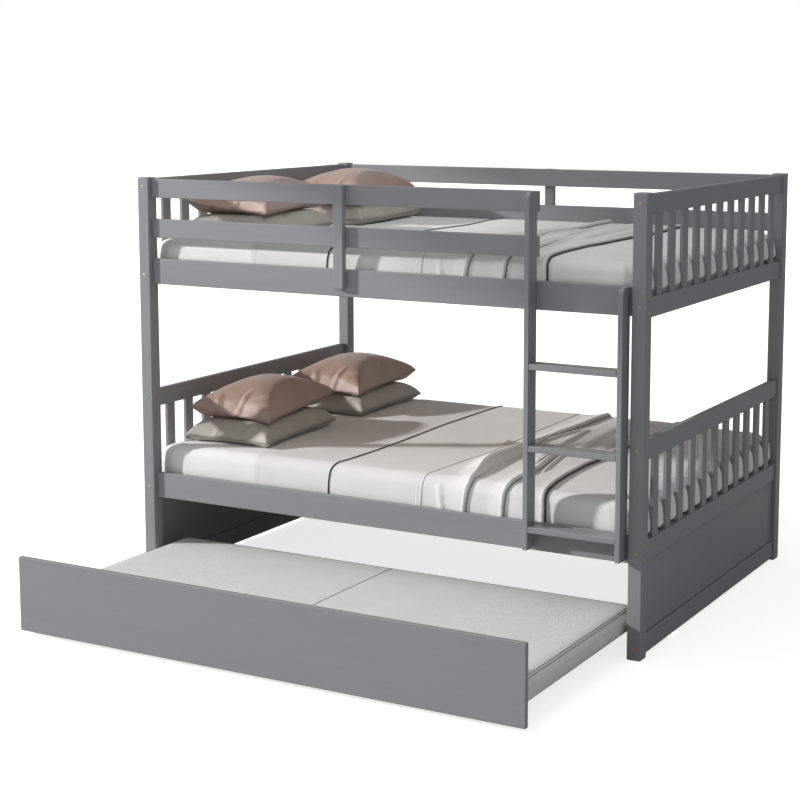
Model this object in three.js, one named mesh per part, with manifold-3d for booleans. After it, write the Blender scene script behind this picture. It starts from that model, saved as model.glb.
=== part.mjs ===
// Bunk bed with a pull-out trundle, in millimetres, +Z up.
// X runs along the bed from the head (left) to the foot (right), Y from the front to the wall.
// Inside the bed group X = 0 is the outer face of the head posts, Y = 0 the front of the front
// posts and Z = 0 the floor. The trundle is modelled pulled out.

import * as THREE from "three";
import { mergeVertices } from "three/addons/utils/BufferGeometryUtils.js";
import Module from "manifold-3d";

const wasm = await Module();
wasm.setup();

// Driving dimensions of the frame, which is built round two standard full-size mattresses
const mattressLength = 1905;
const mattressWidth = 1342;
const mattressEndClearance = 28;
const mattressSideClearance = 13;
const postWidth = 48;
const postDepth = 51;
const postAboveGuard = 5;
const easedEdge = 2;
const fitGap = 0.3;
const boardRecess = 18;
const boardThickness = 22;

// Long rails, the ledgers inside them and the guard boards above them
const railHeight = 95.5;
const lowerRailBottom = 318;
const upperRailBottom = 1129.5;
const ledgerHeight = 25;
const ledgerDepth = 20;
const ledgerLift = 3;
const ledgerInset = 12;
const guardHeight = 70;
const lowGuardGap = 77;
const topGuardGap = 78;

// End frames
const endRailHeight = 66;
const endRailThickness = 22;
const endRailRecess = 7;
const upperEndDrop = 6.5;
const lowerEndLift = 5;
const lowerEndHeight = 402;
const footRailBottom = 10;
const endSlatCount = 11;
const endSlatWidth = 45;
const endSlatThickness = 12;
const tenonLength = 8;
const skirtThickness = 9;
const skirtRecess = 8;

// Braces that tie the guard boards to the rail
const braceWidth = 40;
const braceThickness = 24;
const braceAboveRailBottom = 28;
const frontBraceShare = 0.523;

// Ladder
const stileThickness = 17.5;
const stileDepth = 60;
const ladderWidth = 348;
const ladderToPost = 12.5;
const stileAboveRailBottom = 13;
const stileTopRadius = 22;
const rungThickness = 20;
const rungCount = 3;
const lowestRungLift = 60;
const rungPitch = 273.5;

// Slatted bases of the two bunks
const slatThickness = 12;
const slatWidth = 70;
const bunkSlatCount = 14;
const strapWidth = 25;
const strapThickness = 1.5;
const strapInset = 300;
const centreBeamWidth = 45;

// Mattresses of the two bunks: the upper one is thinner, and leaves more guard above it
const lowerMattressThickness = 160;
const upperMattressThickness = 132;
const mattressCrown = 6;
const mattressCornerRadius = 45;
const mattressEdgeRadius = 34;

// Blankets over the two mattresses, from the head end, with the places of their folds as shares
// of the blanket's length
const blanketFromHead = 739;
const blanketLength = 859;
const blanketThickness = 3;
const blanketHem = 60;
const blanketSteps = 18;
const foldShares = [0.44, 0.5425, 0.651, 0.82, 0.978];
const foldHeights = [9, 5, 13, 14, 11];
const foldHalfWidths = [17, 15, 24, 26, 17];

// Pillows, two pairs on each bunk, the upper one of each pair fuller
const pillowPairGapShare = 0.125;
const pillowPairOffsetShare = 0.0186;
const lowerPillowLengthShare = 0.395;
const lowerPillowWidth = 388;
const lowerPillowThickness = 84;
const upperPillowWidth = 360;
const upperPillowThickness = 128;
const upperPillowOverhang = 5;
const pillowSeam = 4;
const pillowDrawInShare = 0.07;
const lowerPillowSeamShare = 0.33;
const upperPillowSeamShare = 0.25;
const pillowStepsLong = 11;
const pillowStepsShort = 8;
const boxyPower = 4;
const roundPower = 2;
const flatPower = 6;
const pillowTurn = THREE.MathUtils.degToRad(2);
const pillowFromHead = 268;
const pillowPairShift = -8;
const upperPillowToHead = 14;
const upperPillowToBackShare = 0.0209;

// Trundle
const pullOut = 750;
const trundleSideClearance = 3;
const trundleFrontThickness = 18;
const trundleFrontBottom = 13;
const trundleFrontGap = 47;
const trundleRailThickness = 20;
const trundleRailHeight = 45;
const trundleRailBottom = 18;
const trundleDeckInset = 90;
const trundleSideInset = 141;
const trundleSlatCount = 12;
const trundleStrapInset = 220;
const trundleMattressInset = 15.5;
const trundleMattressWidth = 899;
const trundleMattressThickness = 70;
const trundleMattressCrown = 3;
const trundleCornerRadius = 35;
const trundleEdgeRadius = 17;
const trundleRearMargin = 2;

// Fixed casters inside the corners of the trundle
const wheelRadius = 22;
const wheelWidth = 18;
const wheelEase = 2.5;
const axleRadius = 4;
const axleClearance = 0.08;
const wheelSideClearance = 1.2;
const casterPlate = 2.5;
const casterPlateLength = 56;
const casterTopGap = 3;
const casterFromRail = 70;

// Places worked out from the sizes above
const boardFront = boardRecess;
const boardBack = boardRecess + boardThickness;
const endRailInner = endRailRecess + endRailThickness;
const bedLength = mattressLength + 2 * (endRailInner + mattressEndClearance);
const bedDepth = mattressWidth + 2 * (boardBack + mattressSideClearance);
const postInner = postWidth + fitGap;
const railSpan = bedLength - 2 * postInner;
const upperRailTop = upperRailBottom + railHeight;
const lowGuardTop = upperRailTop + lowGuardGap + guardHeight;
const guardTop = lowGuardTop + topGuardGap + guardHeight;
const postHeight = guardTop + postAboveGuard;
const upperEndBottom = upperRailBottom - upperEndDrop;
const lowerEndBottom = lowerRailBottom + lowerEndLift;
const ladderRight = bedLength - postWidth - ladderToPost;
const ladderLeft = ladderRight - ladderWidth;
const stileBottom = lowerRailBottom + stileAboveRailBottom;
const guardFrontLength = ladderLeft + stileThickness - postInner;
const slatTopAbove = ledgerLift + ledgerHeight + slatThickness;
const blanketStart = endRailInner + mattressEndClearance + blanketFromHead;
const blanketEnd = blanketStart + blanketLength;
const pillowPairGap = mattressWidth * pillowPairGapShare;
const pillowPairOffset = mattressWidth * pillowPairOffsetShare;
const lowerPillowLength = mattressWidth * lowerPillowLengthShare;
const upperPillowLength = lowerPillowLength + 2 * upperPillowOverhang;
const upperPillowToBack = mattressWidth * upperPillowToBackShare;
const trundleFrontFace = -pullOut;
const trundleFrontHeight = lowerRailBottom - trundleFrontGap - trundleFrontBottom;
const trundleFrontLength = bedLength - 2 * (postWidth + trundleSideClearance);
const trundleMattressLength = trundleFrontLength - 2 * trundleMattressInset;
const trundleDeckTop = trundleRailBottom + trundleRailHeight + fitGap + slatThickness;
const trundleBack = trundleFrontFace + trundleFrontThickness + trundleMattressWidth + trundleRearMargin;
const wholeFront = trundleFrontFace;
const wholeBack = bedDepth - boardRecess + fitGap + braceThickness;

const upright = new THREE.Vector3(0, 0, 1);

function paint(color, roughness, metalness = 0) {
  return new THREE.MeshStandardMaterial({ color, roughness, metalness });
}

const colours = {
  greyPaint: 0x85858a,
  paleWood: 0xc9b48f,
  sheet: 0xe9e7e6,
  blanket: 0xc9c5c2,
  rose: 0xb08f80,
  taupe: 0xa89f90,
  trundleCover: 0xc4c3c0,
  steel: 0x9a9b9d,
  rubber: 0x2b2b2c,
};

// Closed solid through rings of points, each ring with as many points as the next, its two ends
// filled from their centres.
function loftedSolid(rings) {
  const count = rings[0].length;
  const points = rings.flat();
  const faces = [];
  for (let row = 0; row + 1 < rings.length; row++) {
    for (let i = 0; i < count; i++) {
      const a = row * count + i;
      const b = row * count + ((i + 1) % count);
      faces.push(a, b, b + count, a, b + count, a + count);
    }
  }
  const lastRow = (rings.length - 1) * count;
  for (const [ring, start, flip] of [[rings[0], 0, true], [rings.at(-1), lastRow, false]]) {
    const centre = new THREE.Vector3();
    for (const p of ring) centre.add(p);
    const middle = points.push(centre.divideScalar(count)) - 1;
    for (let i = 0; i < count; i++) {
      const a = start + i;
      const b = start + ((i + 1) % count);
      faces.push(...(flip ? [b, a, middle] : [a, b, middle]));
    }
  }
  return geometryOf(points, faces);
}

// Closed solid between an outer and an inner grid of points, joined along their four borders.
function shellSolid(outer, inner) {
  const rows = outer.length;
  const cols = outer[0].length;
  const points = [...outer.flat(), ...inner.flat()];
  const under = rows * cols;
  const faces = [];
  const quad = (a, b, c, d) => faces.push(a, b, c, a, c, d);
  for (let i = 0; i + 1 < rows; i++) {
    for (let j = 0; j + 1 < cols; j++) {
      const a = i * cols + j;
      quad(a, a + cols, a + cols + 1, a + 1);
      quad(under + a, under + a + 1, under + a + cols + 1, under + a + cols);
    }
  }
  for (let j = 0; j + 1 < cols; j++) {
    const last = (rows - 1) * cols + j;
    quad(j, j + 1, under + j + 1, under + j);
    quad(last + 1, last, under + last, under + last + 1);
  }
  for (let i = 0; i + 1 < rows; i++) {
    const a = i * cols;
    const b = a + cols - 1;
    quad(a + cols, a, under + a, under + a + cols);
    quad(b, b + cols, under + b + cols, under + b);
  }
  return geometryOf(points, faces);
}

function geometryOf(points, faces) {
  const geometry = new THREE.BufferGeometry().setFromPoints(points);
  geometry.setIndex(faces);
  geometry.computeVertexNormals();
  return geometry;
}

// Rectangle from (0, 0) to (width, depth) with its corners cut by a chamfer and drawn in by inset.
function chamferedOutline(width, depth, chamfer, inset, z) {
  const [x0, y0, x1, y1] = [inset, inset, width - inset, depth - inset];
  return [
    [x0 + chamfer, y0], [x1 - chamfer, y0], [x1, y0 + chamfer], [x1, y1 - chamfer],
    [x1 - chamfer, y1], [x0 + chamfer, y1], [x0, y1 - chamfer], [x0, y0 + chamfer],
  ].map(([x, y]) => new THREE.Vector3(x, y, z));
}

// Board with eased edges, its low corner at the origin.
function boardGeometry(width, depth, height) {
  const ring = (inset, z) => chamferedOutline(width, depth, easedEdge, inset, z);
  return loftedSolid([
    ring(easedEdge, 0), ring(0, easedEdge), ring(0, height - easedEdge), ring(easedEdge, height),
  ]);
}

function place(name, geometry, material, [x, y, z] = [0, 0, 0]) {
  const mesh = new THREE.Mesh(geometry, material);
  mesh.name = name;
  mesh.position.set(x, y, z);
  return mesh;
}

// Board between two low and high corners.
function board(name, material, [x0, x1], [y0, y1], [z0, z1]) {
  return place(name, boardGeometry(x1 - x0, y1 - y0, z1 - z0), material, [x0, y0, z0]);
}

function solidFrom(geometry) {
  const bare = geometry.index ? geometry.clone() : geometry;
  bare.deleteAttribute("normal");
  bare.deleteAttribute("uv");
  const merged = mergeVertices(bare);
  return new wasm.Manifold(
    new wasm.Mesh({
      numProp: 3,
      vertProperties: new Float32Array(merged.attributes.position.array),
      triVerts: new Uint32Array(merged.index.array),
    }),
  );
}

function geometryFrom(solid) {
  const mesh = solid.getMesh();
  const geometry = new THREE.BufferGeometry();
  geometry.setAttribute("position", new THREE.BufferAttribute(mesh.vertProperties, 3));
  geometry.setIndex(new THREE.BufferAttribute(mesh.triVerts, 1));
  geometry.computeVertexNormals();
  return geometry;
}

function boxSolid([x0, x1], [y0, y1], [z0, z1]) {
  const box = new THREE.BoxGeometry(x1 - x0, y1 - y0, z1 - z0);
  box.translate((x0 + x1) / 2, (y0 + y1) / 2, (z0 + z1) / 2);
  return solidFrom(box);
}

function movedBoard([x0, x1], [y0, y1], [z0, z1]) {
  return solidFrom(boardGeometry(x1 - x0, y1 - y0, z1 - z0).translate(x0, y0, z0));
}

// Range of a piece seen from the other end of a length, so that one function makes both ends.
function mirrored([low, high], length, flip) {
  return flip ? [length - high, length - low] : [low, high];
}

function posts(material) {
  const made = [];
  for (const [end, flipX] of [["head", false], ["foot", true]]) {
    for (const [side, flipY] of [["front", false], ["back", true]]) {
      const x = mirrored([0, postWidth], bedLength, flipX);
      const y = mirrored([0, postDepth], bedDepth, flipY);
      made.push(board(`${end}_${side}_post`, material, x, y, [0, postHeight]));
    }
  }
  return made;
}

// Long rail with the ledger that carries the slats glued to its inner face.
function longRail(name, material, bottom, flipY) {
  const x = [postInner, postInner + railSpan];
  const y = mirrored([boardFront, boardBack], bedDepth, flipY);
  const ledgerX = [x[0] + ledgerInset, x[1] - ledgerInset];
  const ledgerY = mirrored([boardBack - easedEdge, boardBack + ledgerDepth], bedDepth, flipY);
  const ledgerZ = [bottom + ledgerLift, bottom + ledgerLift + ledgerHeight];
  const rail = movedBoard(x, y, [bottom, bottom + railHeight]);
  return place(name, geometryFrom(rail.add(boxSolid(ledgerX, ledgerY, ledgerZ))), material);
}

function guardBoards(material) {
  const fullX = [postInner, postInner + railSpan];
  const frontX = [postInner, postInner + guardFrontLength];
  const made = [];
  for (const [level, top] of [["top", guardTop], ["low", lowGuardTop]]) {
    const z = [top - guardHeight, top];
    made.push(board(`front_${level}_guard`, material, frontX, [boardFront, boardBack], z));
    const y = mirrored([boardFront, boardBack], bedDepth, true);
    made.push(board(`back_${level}_guard`, material, fullX, y, z));
  }
  return made;
}

// Upright screwed across the outer faces of the guard boards and the upper rail.
function guardBraces(material) {
  const z = [upperRailBottom + braceAboveRailBottom, guardTop];
  const depth = [boardFront - fitGap - braceThickness, boardFront - fitGap];
  const backLeft = (bedLength - braceWidth) / 2;
  const frontLeft = postInner + guardFrontLength * frontBraceShare - braceWidth / 2;
  return [
    board("front_guard_brace", material, [frontLeft, frontLeft + braceWidth], depth, z),
    board("back_guard_brace", material, [backLeft, backLeft + braceWidth],
      mirrored(depth, bedDepth, true), z),
  ];
}

// Two rails with upright slats between them, made up as one frame.
function endFrame(name, material, flipX, bottomZ, topZ) {
  const y = [postDepth + fitGap, bedDepth - postDepth - fitGap];
  const x = mirrored([endRailRecess, endRailInner], bedLength, flipX);
  const slatInset = (endRailThickness - endSlatThickness) / 2;
  const slatX = mirrored([endRailRecess + slatInset, endRailInner - slatInset], bedLength, flipX);
  const slatZ = [bottomZ + endRailHeight - tenonLength, topZ - endRailHeight + tenonLength];
  const gap = (y[1] - y[0] - endSlatCount * endSlatWidth) / (endSlatCount + 1);
  let frame = movedBoard(x, y, [bottomZ, bottomZ + endRailHeight])
    .add(movedBoard(x, y, [topZ - endRailHeight, topZ]));
  for (let i = 0; i < endSlatCount; i++) {
    const start = y[0] + gap + i * (endSlatWidth + gap);
    frame = frame.add(boxSolid(slatX, [start, start + endSlatWidth], slatZ));
  }
  return place(name, geometryFrom(frame), material);
}

// Bottom rail and recessed panel that close the end below the lower bunk.
function endSkirt(end, material, flipX) {
  const y = [postDepth + fitGap, bedDepth - postDepth - fitGap];
  const railX = mirrored([endRailRecess, endRailInner], bedLength, flipX);
  const panelFace = endRailRecess + skirtRecess;
  const panelX = mirrored([panelFace, panelFace + skirtThickness], bedLength, flipX);
  const railTop = footRailBottom + endRailHeight;
  return [
    board(`${end}_bottom_rail`, material, railX, y, [footRailBottom, railTop]),
    board(`${end}_skirt_panel`, material, panelX, y, [railTop + fitGap, lowerEndBottom - fitGap]),
  ];
}

function endPieces(material) {
  const made = [];
  for (const [end, flip] of [["head", false], ["foot", true]]) {
    made.push(endFrame(`${end}_upper_frame`, material, flip, upperEndBottom, guardTop));
    made.push(endFrame(`${end}_lower_frame`, material, flip, lowerEndBottom,
      lowerEndBottom + lowerEndHeight));
    made.push(...endSkirt(end, material, flip));
  }
  return made;
}

// Ladder stile, seen from the side, with its outer top corner rounded.
function stile(name, material, left, top) {
  const shape = new THREE.Shape();
  shape.moveTo(0, 0);
  shape.lineTo(stileDepth, 0);
  shape.lineTo(stileDepth, top - stileBottom);
  shape.lineTo(stileTopRadius, top - stileBottom);
  shape.absarc(stileTopRadius, top - stileBottom - stileTopRadius, stileTopRadius,
    Math.PI / 2, Math.PI, false);
  shape.closePath();
  const ease = easedEdge / 2;
  const geometry = new THREE.ExtrudeGeometry(shape, {
    depth: stileThickness - 2 * ease, curveSegments: 8,
    bevelEnabled: true, bevelThickness: ease, bevelSize: ease, bevelOffset: -ease, bevelSegments: 1,
  });
  geometry.rotateY(Math.PI / 2).rotateX(Math.PI / 2);
  geometry.computeBoundingBox();
  geometry.translate(-geometry.boundingBox.min.x, -geometry.boundingBox.min.y, -geometry.boundingBox.min.z);
  const y = boardFront - fitGap - stileDepth;
  return place(name, geometry, material, [left, y, stileBottom]);
}

function ladder(material) {
  const rightLeft = ladderRight - stileThickness;
  const made = [
    stile("ladder_left_stile", material, ladderLeft, guardTop),
    stile("ladder_right_stile", material, rightLeft, upperRailTop),
  ];
  const x = [ladderLeft + stileThickness + fitGap, rightLeft - fitGap];
  const y = [boardFront - fitGap - stileDepth, boardFront - fitGap];
  for (let i = 0; i < rungCount; i++) {
    const bottom = stileBottom + lowestRungLift + i * rungPitch;
    made.push(board(`ladder_rung_${i + 1}`, material, x, y, [bottom, bottom + rungThickness]));
  }
  return made;
}

// Roll of slats held at their spacing by two webbing straps.
function slatRoll(name, material, count, spanX, spanY, bottom, strapOffset) {
  const pitch = (spanX[1] - spanX[0] - slatWidth) / (count - 1);
  const top = bottom + slatThickness;
  let roll = null;
  for (let i = 0; i < count; i++) {
    const left = spanX[0] + i * pitch;
    const slat = boxSolid([left, left + slatWidth], spanY, [bottom, top]);
    roll = roll ? roll.add(slat) : slat;
  }
  for (const start of [spanY[0] + strapOffset, spanY[1] - strapOffset - strapWidth]) {
    roll = roll.add(boxSolid(spanX, [start, start + strapWidth],
      [top - strapThickness, top + strapThickness]));
  }
  return place(name, geometryFrom(roll), material);
}

function centreBeam(name, material, railBottom) {
  const x = [endRailInner + fitGap, bedLength - endRailInner - fitGap];
  const y = [(bedDepth - centreBeamWidth) / 2, (bedDepth + centreBeamWidth) / 2];
  return board(name, material, x, y, [railBottom, railBottom + ledgerLift + ledgerHeight - fitGap]);
}

function bunkSlats(name, material, railBottom) {
  const x = [postInner + ledgerInset, bedLength - postInner - ledgerInset];
  const y = [boardBack + fitGap, bedDepth - boardBack - fitGap];
  const bottom = railBottom + ledgerLift + ledgerHeight + fitGap;
  return slatRoll(name, material, bunkSlatCount, x, y, bottom, strapInset);
}

// Outline of a rectangle with round corners, centred on the origin.
function roundedOutline(width, depth, radius, inset, z) {
  const cornerSteps = 4;
  const r = Math.max(radius - inset, radius / 4);
  const [cx, cy] = [width / 2 - inset - r, depth / 2 - inset - r];
  const ring = [];
  for (const [sx, sy, start] of [[1, 1, 0], [-1, 1, 1], [-1, -1, 2], [1, -1, 3]]) {
    for (let i = 0; i <= cornerSteps; i++) {
      const angle = (start + i / cornerSteps) * (Math.PI / 2);
      ring.push(new THREE.Vector3(sx * cx + r * Math.cos(angle), sy * cy + r * Math.sin(angle), z));
    }
  }
  return ring;
}

// Mattress with round edges and a low crown, its underside flat.
function mattressGeometry(length, width, thickness, crown, cornerRadius, edgeRadius) {
  const edgeSteps = 3;
  const ring = (inset, z) => roundedOutline(length, width, cornerRadius, inset, z);
  const rings = [];
  for (let i = 0; i <= edgeSteps; i++) {
    const angle = (i / edgeSteps) * (Math.PI / 2);
    rings.push(ring(edgeRadius / 2 * (1 - Math.sin(angle)), edgeRadius / 2 * (1 - Math.cos(angle))));
  }
  const shoulder = thickness - crown - edgeRadius;
  for (let i = 0; i <= edgeSteps; i++) {
    const angle = (i / edgeSteps) * (Math.PI / 2);
    rings.push(ring(edgeRadius * (1 - Math.cos(angle)), shoulder + edgeRadius * Math.sin(angle)));
  }
  rings.push(ring(width / 4, thickness - crown / 4));
  rings.push(ring(width * 3 / 8, thickness));
  return loftedSolid(rings);
}

function bunkMattress(name, material, railBottom, thickness) {
  const geometry = mattressGeometry(mattressLength, mattressWidth, thickness,
    mattressCrown, mattressCornerRadius, mattressEdgeRadius);
  return place(name, geometry, material, [bedLength / 2, bedDepth / 2, mattressFloor(railBottom)]);
}

// Height of the mattress above its underside, at a place measured from its middle.
function mattressTopAt(x, y, thickness) {
  const inset = Math.min(mattressLength / 2 - Math.abs(x), mattressWidth / 2 - Math.abs(y));
  const rise = mattressCrown * 3 / 4;
  const slope = (inset - mattressEdgeRadius) / (mattressWidth / 4 - mattressEdgeRadius);
  const crest = (inset - mattressWidth / 4) / (mattressWidth / 8);
  const flat = thickness - mattressCrown;
  return flat + rise * THREE.MathUtils.clamp(slope, 0, 1)
    + (mattressCrown - rise) * THREE.MathUtils.clamp(crest, 0, 1);
}

function mattressFloor(railBottom) {
  return railBottom + slatTopAbove + strapThickness + 2 * fitGap;
}

// Height that the folds add at a distance along the bed: one round ridge for each fold.
function foldLift(x) {
  let lift = 0;
  foldShares.forEach((share, i) => {
    const away = Math.abs(x - blanketStart - share * blanketLength) / foldHalfWidths[i];
    if (away < 1) lift += foldHeights[i] * Math.cos(away * Math.PI / 2) ** 2;
  });
  return lift;
}

// One section of the blanket, across the bed: up the front of the mattress, over its crown and
// down its back. offset is the distance out from the mattress.
function blanketSection(x, thickness, offset, lift) {
  const edgeSteps = 3;
  const half = mattressWidth / 2;
  const shoulder = thickness - mattressCrown - mattressEdgeRadius;
  const radius = mattressEdgeRadius + offset;
  const side = [[half + offset, shoulder - blanketHem]];
  for (let i = 0; i <= edgeSteps; i++) {
    const angle = (i / edgeSteps) * (Math.PI / 2);
    const reach = half - mattressEdgeRadius;
    side.push([reach + radius * Math.cos(angle), shoulder + radius * Math.sin(angle) + lift * (i / edgeSteps)]);
  }
  side.push([half / 2, thickness - mattressCrown / 4 + offset + lift]);
  side.push([half / 4, thickness + offset + lift]);
  const top = [0, thickness + offset + lift];
  const back = side.map(([y, z]) => [-y, z]).reverse();
  return [...side, top, ...back].map(([y, z]) => new THREE.Vector3(x, -y, z));
}

function blanketGeometry(thickness) {
  const middle = bedLength / 2;
  const stations = [];
  for (let i = 0; i <= blanketSteps; i++) {
    stations.push(blanketStart + (blanketEnd - blanketStart) * i / blanketSteps);
  }
  foldShares.forEach((share, i) => {
    const at = blanketStart + share * blanketLength;
    stations.push(at);
    stations.push(at - foldHalfWidths[i], at + foldHalfWidths[i]);
  });
  const sorted = stations.filter((x) => x >= blanketStart && x <= blanketEnd)
    .sort((a, b) => a - b)
    .filter((x, i, all) => i === 0 || x - all[i - 1] > blanketThickness);
  const outer = sorted.map((x) =>
    blanketSection(x - middle, thickness, fitGap + blanketThickness, foldLift(x)));
  const inner = sorted.map((x) =>
    blanketSection(x - middle, thickness, fitGap, foldLift(x) / 2));
  return shellSolid(outer, inner);
}

function blanket(name, material, railBottom, thickness) {
  return place(name, blanketGeometry(thickness), material,
    [bedLength / 2, bedDepth / 2, mattressFloor(railBottom)]);
}

// Pillow: a crown over a seam whose sides are drawn in between pointed corners. The height over
// the seam falls from the middle to the edges as the root of (1 - s^p)(1 - t^p).
function pillowGeometry(length, width, thickness, seamHeight, topPower, bottomPower) {
  const grid = (height, power) => {
    const rows = [];
    for (let i = 0; i <= pillowStepsShort; i++) {
      const s = Math.sin((i / pillowStepsShort - 1 / 2) * Math.PI);
      const row = [];
      for (let j = 0; j <= pillowStepsLong; j++) {
        const t = Math.sin((j / pillowStepsLong - 1 / 2) * Math.PI);
        const swell = Math.sqrt((1 - Math.abs(s) ** power) * (1 - Math.abs(t) ** power));
        const x = (width / 2) * s * (1 - pillowDrawInShare * (1 - t * t));
        const y = (length / 2) * t * (1 - pillowDrawInShare * (1 - s * s));
        row.push(new THREE.Vector3(x, y, seamHeight + height * swell));
      }
      rows.push(row);
    }
    return rows;
  };
  const top = grid(thickness - seamHeight, topPower);
  const bottom = grid(pillowSeam - seamHeight, bottomPower);
  for (const row of bottom) for (const p of row) p.z -= pillowSeam;
  return shellSolid(top, bottom);
}

// Height at which a pillow in the given place and turn just rests on the mattress.
function restingHeight(geometry, centre, turn, thickness) {
  const points = geometry.attributes.position;
  const point = new THREE.Vector3();
  let height = 0;
  for (let i = 0; i < points.count; i++) {
    point.fromBufferAttribute(points, i);
    const lift = point.z;
    point.applyAxisAngle(upright, turn).add(centre);
    height = Math.max(height, mattressTopAt(point.x, point.y, thickness) - lift);
  }
  return height + fitGap;
}

function pillowStack(bunk, materials, railBottom, thickness) {
  const made = [];
  ["front", "back"].forEach((side, i) => {
    const under = pillowGeometry(lowerPillowLength, lowerPillowWidth, lowerPillowThickness,
      lowerPillowThickness * lowerPillowSeamShare, boxyPower, flatPower);
    const over = pillowGeometry(upperPillowLength, upperPillowWidth, upperPillowThickness,
      upperPillowThickness * upperPillowSeamShare, roundPower, boxyPower);
    const x = pillowFromHead + i * pillowPairShift;
    const y = bedDepth / 2 + pillowPairOffset + (i - 1 / 2) * (lowerPillowLength + pillowPairGap);
    const centre = new THREE.Vector3(x - bedLength / 2, y - bedDepth / 2, 0);
    const stack = new THREE.Group();
    const lift = restingHeight(under, centre, pillowTurn, thickness);
    stack.position.set(x, y, mattressFloor(railBottom) + lift);
    stack.rotation.z = pillowTurn;
    stack.add(place(`${bunk}_${side}_pillow_low`, under, materials.taupe));
    stack.add(place(`${bunk}_${side}_pillow_top`, over, materials.rose,
      [-upperPillowToHead, upperPillowToBack, lowerPillowThickness + fitGap]));
    made.push(stack);
  });
  return made;
}

// Everything that makes up one bunk inside the frame.
function bunk(level, materials, railBottom, thickness) {
  return [
    longRail(`${level}_front_rail`, materials.greyPaint, railBottom, false),
    longRail(`${level}_back_rail`, materials.greyPaint, railBottom, true),
    centreBeam(`${level}_centre_beam`, materials.paleWood, railBottom),
    bunkSlats(`${level}_slats`, materials.paleWood, railBottom),
    bunkMattress(`${level}_mattress`, materials.sheet, railBottom, thickness),
    blanket(`${level}_blanket`, materials.blanket, railBottom, thickness),
    ...pillowStack(level, materials, railBottom, thickness),
  ];
}

function trundleFrame(material, bare) {
  const z = [trundleRailBottom, trundleRailBottom + trundleRailHeight];
  const panelLeft = postWidth + trundleSideClearance;
  const panelX = [panelLeft, panelLeft + trundleFrontLength];
  const panelBack = trundleFrontFace + trundleFrontThickness;
  const longX = [trundleSideInset, bedLength - trundleSideInset];
  const deckX = [trundleDeckInset, bedLength - trundleDeckInset];
  const frontY = [panelBack + fitGap, panelBack + fitGap + trundleRailThickness];
  const backY = [trundleBack - trundleRailThickness, trundleBack];
  const sideY = [frontY[1] + fitGap, backY[0] - fitGap];
  const made = [
    board("trundle_front", material, panelX, [trundleFrontFace, panelBack],
      [trundleFrontBottom, trundleFrontBottom + trundleFrontHeight]),
    board("trundle_front_rail", bare, longX, frontY, z),
    board("trundle_back_rail", material, longX, backY, z),
  ];
  for (const [side, flip] of [["left", false], ["right", true]]) {
    const x = mirrored([trundleSideInset, trundleSideInset + trundleRailThickness], bedLength, flip);
    made.push(board(`trundle_${side}_rail`, bare, x, sideY, z));
  }
  made.push(slatRoll("trundle_slats", bare, trundleSlatCount, deckX, [frontY[0], backY[1]],
    z[1] + fitGap, trundleStrapInset));
  return made;
}

function trundleMattress(material) {
  const geometry = mattressGeometry(trundleMattressLength, trundleMattressWidth,
    trundleMattressThickness, trundleMattressCrown, trundleCornerRadius, trundleEdgeRadius);
  const y = trundleFrontFace + trundleFrontThickness + trundleMattressWidth / 2 + fitGap;
  return place("trundle_mattress", geometry, material,
    [bedLength / 2, y, trundleDeckTop + strapThickness + fitGap]);
}

// Pressed steel bracket, open below, with the axle across it.
function casterBracketGeometry() {
  const inner = wheelWidth / 2 + wheelSideClearance;
  const outer = inner + casterPlate;
  const half = casterPlateLength / 2;
  const top = wheelRadius + casterTopGap;
  const axle = new THREE.CylinderGeometry(axleRadius, axleRadius, 2 * outer - casterPlate, 20);
  axle.rotateZ(Math.PI / 2);
  const bracket = boxSolid([-outer, outer], [-half, half], [top, top + casterPlate])
    .add(boxSolid([-outer, -inner], [-half / 2, half / 2], [-2 * axleRadius, top + casterPlate / 2]))
    .add(boxSolid([inner, outer], [-half / 2, half / 2], [-2 * axleRadius, top + casterPlate / 2]))
    .add(solidFrom(axle));
  return geometryFrom(bracket);
}

// Wheel as a ring turned about X, with a bore that runs on the axle.
function wheelGeometry() {
  const bore = axleRadius + axleClearance;
  const half = wheelWidth / 2;
  const profile = [
    [bore, -half], [wheelRadius - wheelEase, -half], [wheelRadius, wheelEase - half],
    [wheelRadius, half - wheelEase], [wheelRadius - wheelEase, half], [bore, half], [bore, -half],
  ].map(([r, along]) => new THREE.Vector2(r, along));
  const ring = new THREE.LatheGeometry(profile, 28);
  ring.rotateZ(-Math.PI / 2);
  return geometryFrom(solidFrom(ring));
}

function casters(steel, rubber) {
  const reach = wheelWidth / 2 + wheelSideClearance + casterPlate + fitGap;
  const fromEnd = trundleSideInset + trundleRailThickness + reach;
  const panelBack = trundleFrontFace + trundleFrontThickness;
  const made = [];
  for (const [side, x] of [["left", fromEnd], ["right", bedLength - fromEnd]]) {
    for (const [row, y] of [["front", panelBack + casterFromRail], ["back", trundleBack - casterFromRail]]) {
      const caster = new THREE.Group();
      caster.position.set(x, y, wheelRadius);
      caster.add(place(`caster_bracket_${row}_${side}`, casterBracketGeometry(), steel));
      caster.add(place(`caster_wheel_${row}_${side}`, wheelGeometry(), rubber));
      made.push(caster);
    }
  }
  return made;
}

const materials = Object.fromEntries(
  Object.entries(colours).map(([name, colour]) => [name, paint(colour, name === "steel" ? 0.35 : 0.6)]),
);
materials.steel.metalness = 1;

const bed = new THREE.Group();
bed.add(
  ...posts(materials.greyPaint),
  ...endPieces(materials.greyPaint),
  ...guardBoards(materials.greyPaint),
  ...guardBraces(materials.greyPaint),
  ...ladder(materials.greyPaint),
  ...bunk("lower", materials, lowerRailBottom, lowerMattressThickness),
  ...bunk("upper", materials, upperRailBottom, upperMattressThickness),
  ...trundleFrame(materials.greyPaint, materials.paleWood),
  trundleMattress(materials.trundleCover),
  ...casters(materials.steel, materials.rubber),
);

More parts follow.
